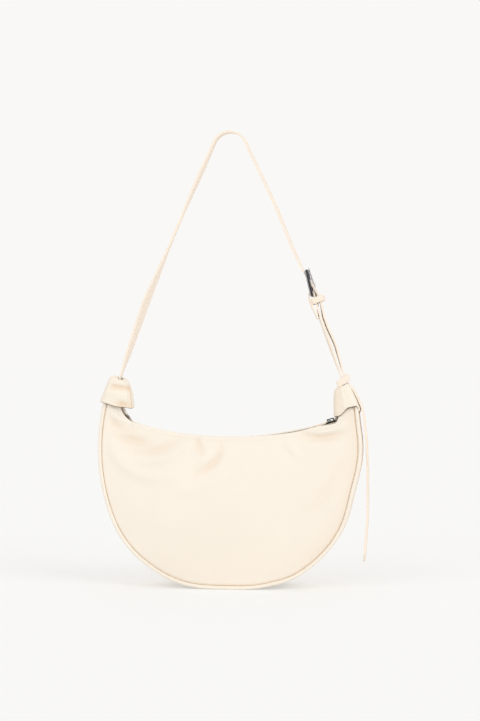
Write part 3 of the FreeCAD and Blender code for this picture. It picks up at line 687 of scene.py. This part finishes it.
def lining_panel(face, side):
    turn_in = TURN_IN[side][0]
    rings = []
    for s in np.linspace(LINING_FROM, LINING_TO, 81):
        edge, normal = edge_spot(s)
        edge = edge + normal * (PIPING + LINING_EDGE)
        mouth, _ = spot(MOUTH, s)
        outer = []
        inner = []
        for t in np.linspace(0, LINING_HEIGHT, 31):
            x, z = edge + (mouth - edge) * t
            slack = LINING_SLACK * slow_noise(x, z, SLACK_SCALE, side) * fullness(s)
            depth = half_depth(s, t) - LEATHER - LINING_GAP + slack - turn_in * pinch(x, z)
            outer.append((x, side * depth, z))
            inner.append((x, side * (depth - LINING_THICK), z))
        rings.append(outer + inner[::-1])
    place(loft(face + "_lining_cloth", rings, lining_cloth), BAG, "lining_cloth", face + "_lining")


def lining_gusset():
    rings = []
    for s in np.linspace(LINING_FROM, LINING_TO, 161):
        point, normal = edge_spot(s)
        half = half_gusset(s) - PIPING / 2 - LINING_THICK
        outer = point + normal * LINING_INSET
        inner = point + normal * (LINING_INSET + LINING_THICK)
        ring = [(outer[0], v * half, outer[1]) for v in np.linspace(-1, 1, 9)]
        ring += [(inner[0], v * half, inner[1]) for v in np.linspace(1, -1, 9)]
        rings.append(ring)
    place(loft("gusset_lining_cloth", rings, lining_cloth), BAG, "lining_cloth", "gusset_lining")


for face, side in FACES:
    lining_panel(face, side)
lining_gusset()

# Zip tapes: woven strips with a bead at the toothed edge, edge to edge past the bottom stop
STOP_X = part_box("zip_bottom_stop")[0][0] / MM
TAPE_LEFT = math.degrees(math.asin(-STOP_X / ZIP_RADIUS)) + 0.45
TAPE_BELOW_LIP, TAPE_CLOSING = 3.0, 1.1
# Upper half of a tape's section: distance from the zip's middle, and height as a share of the thickness
TAPE_SECTION = [(TAPE_EDGE, 0.4), (8.0, 0.4), (5.0, 0.4), (3.4, 0.45), (1.9, 0.45), (1.35, 0.36)]


def zip_tape(face, side):
    section = TAPE_SECTION + [(TAPE_INNER, 0.0)] + [(y, -h) for y, h in reversed(TAPE_SECTION)]
    rings = []
    for turn in np.radians(np.linspace(-TAPE_LEFT, TAPE_END, 161)):
        x = ZIP_RADIUS * math.sin(turn)
        lip_z = ZIP_CENTRE - ZIP_RADIUS * math.cos(turn) + TAPE_BELOW_LIP
        inner = TAPE_INNER - TAPE_CLOSING * ease(x, STOP_X, STOP_X - 2)
        outer = max(TAPE_EDGE - TURN_IN[side][0] * pinch(x, lip_z), inner + 1)
        ring = []
        for y, h in section:
            y = np.interp(y, (TAPE_INNER, TAPE_EDGE), (inner, outer))
            radius = ZIP_RADIUS - h * TAPE_THICK
            ring.append((radius * math.sin(turn), side * y, ZIP_CENTRE - radius * math.cos(turn)))
        rings.append(ring)
    place(loft(face + "_zip_tape_cloth", rings, tape_cloth), BAG, "zip_tape", face + "_zip_tape")


for face, side in FACES:
    zip_tape(face, side)

# Hoods over the horns: a leather sleeve with a rolled hem and a slit at the top for the strap
HOOD_HEM_DEPTH, HOOD_TOP_DEPTH, HOOD_WALL = 31.0, 28.4, 1.6
# Height from hem to top, by which steps below the hem are measured, and half depth of the roof
HOOD_HEIGHT, ROOF_HALF = 36.0, 12.5
HOOD_CORNERS, SLIT_CORNERS = 3.6, 4.0
# Shares of the height at the hem and under the roof; then steps round the edges: (height, shrink) into the
# roof, (drop, gap) over the slit's edge and (drop, share of the wall) across a dark hem strip that paints
# the shadow line under the hem
HEM_U, SHOULDER_U, INNER_U = 0.012, 0.93, 0.90
SHOULDER = [(0.965, 0.1), (0.985, 0.35), (1.0, 0.9)]
SLIT_EDGE = [(0.05, 0.7), (0.25, 0.15), (0.9, 0.0), (1.7, 0.3)]
HEM_SHADOW_RINGS = [(1.0, 0.95), (1.0, 0.62), (0.0, 0.56)]


def hood(name, node, left_edge, right_edge, slit, sags, hem_shadow_drop, reshape):
    # the two edge lines run from hem to top as seen from the front; slit is its middle x, half sizes,
    #     # middle y and turn; sags are how far the roof falls to the front and the back
    left_edge = np.array(left_edge)
    right_edge = np.array(right_edge)
    slit_x, slit_half_x, slit_half_y, slit_y, slit_turn = slit

    def on_edge(edge, u):
        point = np.array([np.interp(u, np.linspace(0, 1, len(edge)), edge[:, k]) for k in range(2)])
        return point + np.array([0.0, min(u, 0.0) * HOOD_HEIGHT])

    def roof_sag(y, b):
        return sags[b > 0] * (y / ROOF_HALF) ** 2

    def wall_point(u, turn, shrink):
        left = on_edge(left_edge, u)
        right = on_edge(right_edge, u)
        half = np.linalg.norm(right - left) / 2
        across = (right - left) / (2 * half)
        rise = max(u, 0.0)
        deep = (HOOD_HEM_DEPTH + (HOOD_TOP_DEPTH - HOOD_HEM_DEPTH) * rise ** 2.6) / 2
        a, b = round_square(turn, HOOD_CORNERS)
        push, lift, _ = reshape(u, a, b)
        x, z = (left + right) / 2 + across * ((half - shrink) * a)
        y = (deep - shrink - push) * b
        return np.array([x, y, z + lift - rise ** 6 * roof_sag(y, b)])

    def slit_point(drop, turn, gap):
        a, b = round_square(turn, SLIT_CORNERS)
        y = slit_y + (slit_half_y + gap) * b
        x = slit_x + (slit_half_x + gap) * a - slit_turn * y
        left, right = left_edge[-1], right_edge[-1]
        roof = left[1] + (right[1] - left[1]) * (x - left[0]) / (right[0] - left[0])
        return np.array([x, y, roof - roof_sag(y, b) - drop])

    around = turns(96)
    outside = [(u, 0.0) for u in np.linspace(HEM_U, SHOULDER_U, 34)] + SHOULDER
    profile = [[wall_point(u, a, shrink) for a in around] for u, shrink in outside]
    # painted shade of each outer point, for the leather's colour
    shade_marks = [reshape(u, math.cos(a), math.sin(a))[2] for u, _ in outside for a in around]
    for drop, gap in SLIT_EDGE:
        profile.append([slit_point(drop, a, gap) for a in around])
    profile += [[wall_point(u, a, HOOD_WALL) for a in around] for u in np.linspace(INNER_U, HEM_U, 20)]
    shadow_from = len(profile) - 1
    for drop, share in HEM_SHADOW_RINGS:
        profile.append([wall_point(-drop * hem_shadow_drop / HOOD_HEIGHT, a, HOOD_WALL * share) for a in around])
    shadow_to = len(profile) - 1
    profile.append([wall_point(-0.004, a, HOOD_WALL * 0.3) for a in around])
    piece = loft(name, profile, side_leather, closed=True)
    paint_shade(piece, shade_marks + [0.0] * (len(piece.data.vertices) - len(shade_marks)))
    # the strip below the hem takes the dark leather that paints the shadow under the hem
    piece.data.materials.append(painted_hem_shadow)
    for face in piece.data.polygons[shadow_from * len(around):shadow_to * len(around)]:
        face.material_index = 1
    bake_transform(soften(piece, 1))
    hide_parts(node)


# Folds of a hood at share u of its height, a across and b to the back: how far the wall is pushed in and
# lifted, and how much painted shade its colour gets
def left_folds_and_shade(u, a, b):
    # band pressed in under the top, a pleat near the inner edge, a dent in the hem and a soft belly; the
    # band,
    #     # pleat and dent get painted shade
    front = ease(b, 0.3, -0.7)
    pressed = bell(u, 0.575, 0.095) * ease(a, -0.6, -0.3) * front
    pleat = bell(a, 0.84, 0.05) * ease(u, 0.8, 0.5) * front
    dent = bell(u, 0.07, 0.09) * bell(a, 0.42, 0.35) * front
    belly = bell(u, 0.34, 0.14) * front
    push = 1.9 * pressed + 1.8 * pleat + 2.2 * dent - 0.7 * belly
    lift = (-1.6 * bell(a, 0.05, 0.5) - 0.6 * bell(a, 0.9, 0.3)) * ease(u, 0.4, 0.0) * front
    return push, lift, min(0.75 * pressed + pleat + dent, 1.0)


def right_folds_and_shade(u, a, b):
    # front hem lifted in an arch over the horn, and a soft upright ridge; painted shade on the inner, left
    # part
    #     # of the front
    front = ease(b, 0.1, -0.9)
    arch = ease(a, -0.62, 0.13) * ease(a, 0.93, 0.69)
    lift = (7.6 * arch - 0.3 * bell(a, -0.7, 0.3)) * ease(u, 0.6, 0.0) * front
    push = (0.7 * bell(a, -0.5, 0.3) - 0.6 * bell(a, -0.12, 0.14)) * front
    return push, lift, 0.3 * ease(a, -0.1, -0.4) * front


hood(
    "left_end_hood", "left_end_cap",
    [(-160.6, 224.2), (-157.9, 230.8), (-155.2, 237.2), (-152.2, 244.2), (-149.3, 251.0), (-147.0, 256.0)],
    [(-119.2, 216.2), (-120.0, 225.0), (-120.9, 233.0), (-123.2, 241.2), (-125.8, 247.2), (-129.2, 252.6)],
    slit=(-134.3, 3.4, 12.0, -1.2, 0.105), sags=(2.6, 0.8),
    hem_shadow_drop=0.7, reshape=left_folds_and_shade,
)
hood(
    "right_end_hood", "right_end_cap",
    [(125.8, 206.8), (125.5, 215.0), (125.5, 223.5), (125.7, 231.5), (126.3, 237.2), (128.8, 240.8)],
    [(159.2, 213.4), (157.3, 219.8), (154.3, 227.2), (150.6, 235.2), (147.8, 241.2), (144.4, 247.6)],
    slit=(138.2, 2.5, 12.6, 0.0, 0.0), sags=(0.8, 2.0),
    hem_shadow_drop=1.25, reshape=right_folds_and_shade,
)

# Straps: a centre line of straight runs and round bends, then a flat band along it with rounded edges
STRAP_STEP, FINE_STEP = 1.6, 0.8
# Divisions across a strap, as shares of its half width; the inner ones frame the holes
STRAP_COLUMNS = [-1.0, -0.85, -0.6, -0.38, -0.24, -0.17, 0.0, 0.17, 0.24, 0.38, 0.6, 0.85, 1.0]
HOLE_REACH, HOLE_HALF = 4.5, 1.7
SLOT_REACH, SLOT_HALF = 9.5, 2.4
# Degrees that the buckle and the strap beside it are turned towards the viewer
BUCKLE_LEAN = 2.4


def bent_line(vertices, radii, step=STRAP_STEP):
    vertices = [np.array(v, float) for v in vertices]
    line = [vertices[0]]
    for before, corner, after, radius in zip(vertices, vertices[1:], vertices[2:], radii[1:]):
        a = unit(corner - before)
        b = unit(after - corner)
        turn = math.atan2(a[0] * b[1] - a[1] * b[0], a.dot(b))
        start = corner - a * (radius * math.tan(abs(turn) / 2))
        side = 1 if turn > 0 else -1
        centre = start + np.array([-a[1], a[0]]) * (side * radius)
        spoke = start - centre
        count = max(3, int(abs(turn) * radius / step))
        for k in range(count + 1):
            c, d = math.cos(turn * k / count), math.sin(turn * k / count)
            line.append(centre + np.array([spoke[0] * c - spoke[1] * d, spoke[0] * d + spoke[1] * c]))
    line.append(vertices[-1])
    return np.array(line)


def even_line(line, step):
    along = lengths_along(line)
    at = np.linspace(0, along[-1], max(4, int(along[-1] / step)))
    return np.stack([np.interp(at, along, line[:, k]) for k in range(2)], axis=1), at


def nearest_length(line, point, step=STRAP_STEP):
    even, at = even_line(line, step)
    return at[np.argmin(np.hypot(even[:, 0] - point[0], even[:, 1] - point[1]))]


def thicken(piece, thick, bevel):
    solid = piece.modifiers.new("thick", "SOLIDIFY")
    solid.thickness = thick * MM
    solid.offset = 0.0
    solid.use_even_offset = True
    edge = piece.modifiers.new("edge", "BEVEL")
    edge.width = bevel * MM
    edge.segments = 3
    edge.limit_method = "ANGLE"
    edge.angle_limit = math.radians(50)


def band(name, line, thick, half_width, material, holes=(), lean=None, step=STRAP_STEP, bevel=0.8):
    # sheet along the line with its holes left out, given its thickness and rounded edges by modifiers
    line, at = even_line(line, step)
    leans = lean(line) if lean else np.zeros(len(line))
    ways = np.gradient(line, axis=0)
    points = []
    for p, a, way, turn in zip(line, at, ways, leans):
        way = unit(way)
        out = np.array([way[1], -way[0]])
        half = half_width(a, at[-1])
        for c in STRAP_COLUMNS:
            x, z = p + out * (c * half * math.sin(turn))
            points.append((x, c * half * math.cos(turn), z))
    count = len(STRAP_COLUMNS)
    faces = []
    for i in range(len(line) - 1):
        middle = (at[i] + at[i + 1]) / 2
        for j in range(count - 1):
            y = (STRAP_COLUMNS[j] + STRAP_COLUMNS[j + 1]) / 2 * STRAP_HALF
            if any(a0 < middle < a1 and abs(y) < half for a0, a1, half in holes):
                continue
            k = i * count + j
            faces.append((k, k + 1, k + count + 1, k + count))
    piece = add_mesh(name, points, faces, material)
    thicken(piece, thick, bevel)
    return piece


# Corners of the centre lines as (x, z), and the radius of the bend at each
LONG_VERTICES = [
    (-136.4, 238.12), (-135.9, 254.09), (-103.5, 347.07), (-51.6, 469.0), (-0.87, 581.4),
    (55.6, 461.2), (75.2, 411.5), (89.36, 381.3), (105.84, 355.84), (110.7, 341.0),
    (113.4, 326.5), (118.4, 313.0), (127.6, 293.0), (134.4, 269.0), (141.01, 247.43),
]
LONG_RADII = [0, 10, 260, 260, 21, 260, 160, 30, 30, 40, 40, 60, 60, 80, 0]
LONG_HOLES = [(103.18, 359.96), (89.53, 380.91), (79.85, 403.96)]
SHORT_VERTICES = [
    (138.94, 222.12), (139.88, 238.09), (132.9, 260.0), (117.0, 303.5), (109.3, 324.5), (105.4, 342.0),
    (101.98, 357.77), (96.26, 355.96), (95.6, 348.5), (99.2, 339.8), (103.7, 331.0), (106.3, 324.5),
]
SHORT_RADII = [0, 10, 60, 60, 50, 50, 3, 3, 12, 20, 30, 0]
BAR_TOP = (99.1, 357.5)
TAIL_VERTICES = [
    (141.49, 245.91), (149.2, 240.2), (154.6, 229.6), (159.5, 219.0), (162.8, 202.9),
    (165.5, 178.0), (166.9, 142.0), (166.9, 85.0), (162.4, 31.5),
]
TAIL_RADII = [0, 10, 20, 30, 60, 90, 120, 150, 0]
TAIL_HOLES = [(166.63, 140.46), (166.91, 115.47)]

# Turn of a strap about its run, as (height, degrees) on the way up and on the way down
LONG_LEAN_UP = [
    (238, -6), (262, -5.5), (280, 5), (305, 8), (335, 12.5), (352, 12),
    (374, 6), (410, -4), (449, -6), (470, -1), (507, 2.6), (540, -2),
]
LONG_LEAN_DOWN = [
    (540, -3), (500, -2.5), (470, -3.5), (398, -3), (380, BUCKLE_LEAN), (362, BUCKLE_LEAN),
    (346, 3), (330, 7.5), (290, 7.5), (270, 5), (256, 1),
]
SHORT_LEAN_UP = [
    (222, 0), (252, -2), (270, -7), (290, -10), (310, -8.5), (320, -8), (334, -5), (346, BUCKLE_LEAN),
]
SHORT_LEAN_DOWN = [(358, BUCKLE_LEAN), (345, 5), (325, 6)]
TAIL_LEAN, LEAN_WINDOW = -2.0, 15
# The tail's pointed end: share of the width at the tip, and length
TIP_SHARE, TIP_LENGTH = 0.12, 9.0


def smooth_lean(line, up, down):
    # turn along a line in radians, evened out over a window of points
    top = np.argmax(line[:, 1])
    lean = np.zeros(len(line))
    for part, pairs in ((slice(0, top), up), (slice(top, None), down)):
        heights, degrees = zip(*sorted(pairs))
        lean[part] = np.interp(line[part, 1], heights, degrees)
    window = np.hanning(LEAN_WINDOW)
    lean = np.convolve(np.pad(lean, LEAN_WINDOW // 2, "edge"), window / window.sum(), "valid")
    return np.radians(lean)


def long_lean(line):
    return smooth_lean(line, LONG_LEAN_UP, LONG_LEAN_DOWN)


def short_lean(line):
    return smooth_lean(line, SHORT_LEAN_UP, SHORT_LEAN_DOWN)


def tail_lean(line):
    return np.radians(TAIL_LEAN * ease(line[:, 1], 200, 140))


def round_end(a, half, least):
    # half width of a band at length a from its round end
    return half * math.sqrt(max(1 - max(1 - a / half, 0) ** 2, least))


def rivet_end(a, total):
    # the strap's end inside the hood is round about its rivet
    return round_end(a, STRAP_HALF, 0.02)


def pointed_end(a, total):
    return STRAP_HALF * min(1.0, TIP_SHARE + (1 - TIP_SHARE) * ((total - a) / TIP_LENGTH) ** 0.8)


def hole_at(line, point):
    a = nearest_length(line, point)
    return a - HOLE_REACH, a + HOLE_REACH, HOLE_HALF


long_line = bent_line(LONG_VERTICES, LONG_RADII)
long_strap = band(
    "long_strap_leather", long_line, STRAP_THICK, rivet_end, toned_strap_leather,
    holes=[hole_at(long_line, p) for p in LONG_HOLES], lean=long_lean,
)
place(long_strap, STRAP, "cream_leather", "long_strap")

short_line = bent_line(SHORT_VERTICES, SHORT_RADII, step=0.6)
bar_top = nearest_length(short_line, BAR_TOP, FINE_STEP)
buckle_strap = band(
    "buckle_strap_leather", short_line, SHORT_THICK, rivet_end, toned_strap_leather,
    holes=[(bar_top - SLOT_REACH, bar_top + SLOT_REACH, SLOT_HALF)],
    lean=short_lean, step=FINE_STEP, bevel=0.7,
)
place(buckle_strap, STRAP, "cream_leather", "buckle_strap")

tail_line = bent_line(TAIL_VERTICES, TAIL_RADII)
strap_tail = band(
    "strap_tail_leather", tail_line, STRAP_THICK, pointed_end, toned_strap_leather,
    holes=[hole_at(tail_line, p) for p in TAIL_HOLES], lean=tail_lean,
)
place(strap_tail, TAIL, "cream_leather", "strap_tail")

# Loops round the strap: closed leather bands, placed along the short strap from the buckle's heel
HEEL = np.array([100.027, 354.003])
SHORT_UP = np.array([-0.30188, 0.95335])
SHORT_OUT = np.array([SHORT_UP[1], -SHORT_UP[0]])
KEEPER_HALF, KEEPER_WALL, KEEPER_CORNERS = STRAP_HALF + 0.6, 1.6, 8
# Section of the band: share of its length, and share of its wall from the inside out
KEEPER_SECTION = [
    (-0.5, 0.25), (-0.5, 0.75), (-0.44, 1.0), (-0.15, 1.06), (0.15, 1.06),
    (0.44, 1.0), (0.5, 0.75), (0.5, 0.25), (0.44, 0.0), (-0.44, 0.0),
]


def keeper(name, node, body, down, low, inside=12.5, length=7.5, slant=0.0, lean=0.0):
    centre = HEEL - SHORT_UP * down
    rings = []
    for turn in turns(64):
        a, b = round_square(turn, KEEPER_CORNERS)
        ring = []
        for u, grow in KEEPER_SECTION:
            wall = KEEPER_WALL * grow
            y = (KEEPER_HALF + wall) * b
            over = (inside / 2 + wall) * a + y * math.tan(math.radians(lean))
            x, z = centre + SHORT_OUT * (low + inside / 2 + over) + SHORT_UP * (u * length + slant * over)
            ring.append((x, y, z))
        rings.append(ring)
    piece = loft(name, rings, toned_strap_leather, closed=True)
    place(soften(piece, 1), body, "cream_leather", node)


keeper("upper_loop_leather", "upper_keeper", STRAP, 8.2, -1.6, slant=0.06, lean=BUCKLE_LEAN)
keeper("lower_loop_leather", "lower_keeper", LOOP, 111.3, -2.9, inside=13.8, length=8.6, slant=0.32)

# Buckle: rounded frame with a thin heel bar, and a bent prong
FRAME_UP = np.array([-0.2267, 0.974])
FRAME_OUT = np.array([0.974, 0.2267])
FRAME_LENGTH, FRAME_HALF, FRAME_CORNER = 29.0, 13.0, 5.0
RAIL_HALF, RAIL_THICK = 1.8, 2.0
HEEL_HALF, HEEL_RADIUS, HEEL_POINTS = 12.6, 1.6, 16
PRONG_VERTICES, PRONG_RADII = [(100.38, 354.7), (103.5, 362.6), (95.3, 386.2)], [0, 7.0, 0]
PRONG_HALF, PRONG_THICK = 1.3, 0.95
EYE_RADIUS, EYE_WALL, EYE_HALF = 2.3, 0.62, 1.3


def in_frame(up, y):
    x, z = HEEL + FRAME_UP * up + FRAME_OUT * (y * math.tan(math.radians(BUCKLE_LEAN)))
    return np.array([x, y, z])


def rod(name, centre, sizes, material, power=2.6, around=16, glint_faces=()):
    # rounded bar along 3-D points; sizes are its half width in the frame's plane and half thickness out of
    #     # it; the listed columns of faces take a lighter metal that paints glints
    rings = []
    out = np.array([FRAME_OUT[0], 0.0, FRAME_OUT[1]])
    for i, (p, (width, thick)) in enumerate(zip(centre, sizes)):
        way = unit(centre[min(i + 1, len(centre) - 1)] - centre[max(i - 1, 0)])
        normal = unit(out - way * out.dot(way))
        side = np.cross(way, normal)
        ring = []
        for turn in turns(around):
            a, b = round_square(turn, power)
            ring.append(p + side * (width * a) + normal * (thick * b))
        rings.append(ring)
    piece = loft(name, rings, material)
    piece.data.materials.append(painted_glint_metal)
    for face in piece.data.polygons[:(len(rings) - 1) * around]:
        face.material_index = int(face.index % around in glint_faces)
    return piece


def frame_path():
    # up one rail, round the far bar and down the other rail
    straight = FRAME_LENGTH - FRAME_CORNER
    inset = FRAME_CORNER - FRAME_HALF
    path = [(up, -FRAME_HALF) for up in np.linspace(-2.0, straight, 14)]
    for turn in np.linspace(0, math.pi / 2, 9)[1:]:
        path.append((straight + FRAME_CORNER * math.sin(turn), inset - FRAME_CORNER * math.cos(turn)))
    path += [(FRAME_LENGTH, y) for y in np.linspace(inset, 0, 6)[1:]]
    path += [(up, -y) for up, y in path[-2::-1]]
    return [in_frame(up, y) for up, y in path]


def buckle_frame():
    path = frame_path()
    ends = [min(1.0, 0.55 + 0.25 * min(i, len(path) - 1 - i)) for i in range(len(path))]
    sizes = [(RAIL_HALF * e, RAIL_THICK * e) for e in ends]
    rails = rod("buckle_frame_bar", path, sizes, gunmetal, glint_faces=(1, 9))
    heel = [in_frame(0, y) for y in np.linspace(-HEEL_HALF, HEEL_HALF, HEEL_POINTS)]
    bar = rod("buckle_heel_bar", heel, [(HEEL_RADIUS, HEEL_RADIUS)] * HEEL_POINTS, gunmetal, power=2.0)
    place(rails, STRAP, "gunmetal", "buckle_frame")
    place(bar, STRAP, "gunmetal")


def buckle_prong():
    # tapered pin, and the eye that holds it on the heel bar
    line, at = even_line(bent_line(PRONG_VERTICES, PRONG_RADII, step=FINE_STEP), 1.0)
    path = [np.array([x, 0.0, z]) for x, z in line]
    shares = at / at[-1]
    taper = [(PRONG_HALF * (1 - 0.45 * a ** 3), PRONG_THICK * (1 - 0.35 * a ** 3)) for a in shares]
    # the pin is all in the lighter metal of the painted glints
    place(rod("buckle_prong_pin", path, taper, painted_glint_metal), PRONG, "gunmetal", "buckle_prong")
    centre = np.array([HEEL[0], 0, HEEL[1]])
    along_bar = np.array([0, EYE_HALF, 0])
    rings = []
    for turn in turns(28):
        way = np.array([math.cos(turn), 0.0, math.sin(turn)])
        rings.append([
            centre + way * (EYE_RADIUS + EYE_WALL * math.cos(a)) + along_bar * math.sin(a) for a in turns(12)
        ])
    place(loft("buckle_prong_eye", rings, gunmetal, closed=True), PRONG, "gunmetal")


buckle_frame()
buckle_prong()

# Zip pull: a leather tab on a small link, lying along the zip
PULL_PIVOT = np.array([121.885, 201.547])
PULL_WAY = unit(np.array([100.7, 195.3]) - PULL_PIVOT)
TAB_VERTICES, TAB_RADII = [(118.6, 200.2), (114.4, 197.9), (101.0, 194.2)], [0, 12, 0]
TAB_HALF, TAB_THICK = 3.0, 1.7
LINK_MIDDLE, LINK_RADIUS, LINK_WIRE = 2.4, 2.6, 0.6


def tab_end(a, total):
    return round_end(total - a, TAB_HALF, 0.05)


def pull_link():
    rise = np.array([PULL_WAY[1], 0.0, -PULL_WAY[0]])
    rings = []
    for turn in turns(28):
        c, d = math.cos(turn), math.sin(turn)
        x, z = PULL_PIVOT + PULL_WAY * (LINK_MIDDLE + LINK_RADIUS * c)
        hub = np.array([x, LINK_RADIUS * d, z])
        spoke = np.array([PULL_WAY[0] * c, d, PULL_WAY[1] * c])
        rings.append([hub + (spoke * math.cos(a) + rise * math.sin(a)) * LINK_WIRE for a in turns(10)])
    place(loft("zip_pull_link", rings, gunmetal, closed=True), PULL, "gunmetal")


pull_line = bent_line(TAB_VERTICES, TAB_RADII, step=FINE_STEP)
pull_tab = band("zip_pull_tab", pull_line, TAB_THICK, tab_end, toned_strap_leather, step=FINE_STEP, bevel=0.5)
place(pull_tab, PULL, "cream_leather", "zip_pull")
pull_link()

# Solids that keep their shape get a finish
FINISHES = [
    (tooth_metal, ("front_zip_teeth", "back_zip_teeth", "zip_top_stops", "zip_bottom_stop")),
    # the slider's near-black metal paints the shade under the hood
    (shaded_slider_metal, ("zip_slider",)),
    (gunmetal, ("left_anchor_rivet", "right_anchor_rivet")),
    (leather, ("left_anchor_tab", "right_anchor_tab")),
]
for material, names in FINISHES:
    for node in names:
        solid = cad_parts[node]
        solid.data.materials.clear()
        solid.data.materials.append(material)

# Floor, light and camera
BACKDROP = (0.947, 0.939, 0.922)
PAPER, PAPER_GLOW, GLOW_SHARE = (0.95, 0.945, 0.93), (1.0, 0.989, 0.968), 0.46
FLOOR_HALF = 80000.0
SKY, SKY_TINT, SUN_TINT = 0.69, (1.0, 0.975, 0.965), (0.94, 1.03, 1.07)
# Lamps: azimuth and height in degrees, strength, and softness in degrees
LAMPS = {
    "key": (54, 28, 0.76, 40),
    "fill": (-30, 28, 0.58, 50),
    "back_fill": (180, 40, 0.25, 60),
    "glint_right": (35, 40, 0.04, 4),
    "glint_left": (-50, 30, 0.04, 4),
}


def blank_tree(owner):
    owner.use_nodes = True
    owner.node_tree.nodes.clear()
    return owner.node_tree


def seen_rays(tree):
    # 1 for what the camera sees, straight or mirrored or through glass
    rays = add_node(tree, "LightPath", {})
    seen = rays.outputs["Is Camera Ray"]
    for other in ("Is Glossy Ray", "Is Transmission Ray"):
        either = add_node(tree, "Math", {0: seen, 1: rays.outputs[other]})
        either.operation = "MAXIMUM"
        seen = either.outputs["Value"]
    return seen


def floor():
    # white paper that shows its shadows lightened, as on a lit backdrop
    material = bpy.data.materials.new("floor_paper")
    tree = blank_tree(material)
    paper = add_node(tree, "BsdfDiffuse", {"Color": (*PAPER, 1)})
    glow = add_node(tree, "Emission", {"Color": (*PAPER_GLOW, 1)})
    share = add_node(tree, "Math", {0: seen_rays(tree), 1: GLOW_SHARE})
    share.operation = "MULTIPLY"
    mix = add_node(tree, "MixShader", {
        "Fac": share.outputs["Value"], 1: paper.outputs["BSDF"], 2: glow.outputs["Emission"],
    })
    add_node(tree, "OutputMaterial", {"Surface": mix.outputs["Shader"]})
    corners = [(-1, -1), (1, -1), (1, 1), (-1, 1)]
    points = [(x * FLOOR_HALF, y * FLOOR_HALF, 0) for x, y in corners]
    sheet = add_mesh("floor", points, [(0, 1, 2, 3)], material)


def studio():
    world = bpy.data.worlds.new("studio")
    scene.world = world
    tree = blank_tree(world)
    sky = add_node(tree, "Background", {"Color": (*SKY_TINT, 1), "Strength": SKY})
    backdrop = add_node(tree, "Background", {"Color": (*BACKDROP, 1), "Strength": 1.0})
    mix = add_node(tree, "MixShader", {
        "Fac": seen_rays(tree), 1: sky.outputs["Background"], 2: backdrop.outputs["Background"],
    })
    add_node(tree, "OutputWorld", {"Surface": mix.outputs["Shader"]})


def sun(name, azimuth, elevation, strength, softness):
    light = bpy.data.lights.new(name, "SUN")
    light.energy = strength
    light.color = SUN_TINT
    light.angle = math.radians(softness)
    lamp = bpy.data.objects.new(name, light)
    scene.collection.objects.link(lamp)
    a, e = math.radians(azimuth), math.radians(elevation)
    towards = Vector((math.sin(a) * math.cos(e), -math.cos(a) * math.cos(e), math.sin(e)))
    lamp.rotation_euler = towards.to_track_quat("Z", "Y").to_euler()


floor()
studio()
for name, settings in LAMPS.items():
    sun(name, *settings)

# Camera: level, a little to the right of straight on
VIEW_TURN, VIEW_DISTANCE = math.radians(6.0), 2.0
VIEW_TARGET = (0.0116, 0.0, 0.2740)
PHOTO_ROWS, ROW_HEIGHT = 721, 1.2172
camera_data = bpy.data.cameras.new("camera")
camera_data.sensor_fit = "VERTICAL"
camera_data.sensor_height = 24.0
camera_data.lens = camera_data.sensor_height * VIEW_DISTANCE / (PHOTO_ROWS * ROW_HEIGHT * MM)
camera = bpy.data.objects.new("camera", camera_data)
scene.collection.objects.link(camera)
view_way = Vector((math.sin(VIEW_TURN), -math.cos(VIEW_TURN), 0))
camera.location = Vector(VIEW_TARGET) + view_way * VIEW_DISTANCE
camera.rotation_euler = (math.radians(90), 0, VIEW_TURN)
scene.camera = camera

scene.view_settings.view_transform = "Standard"
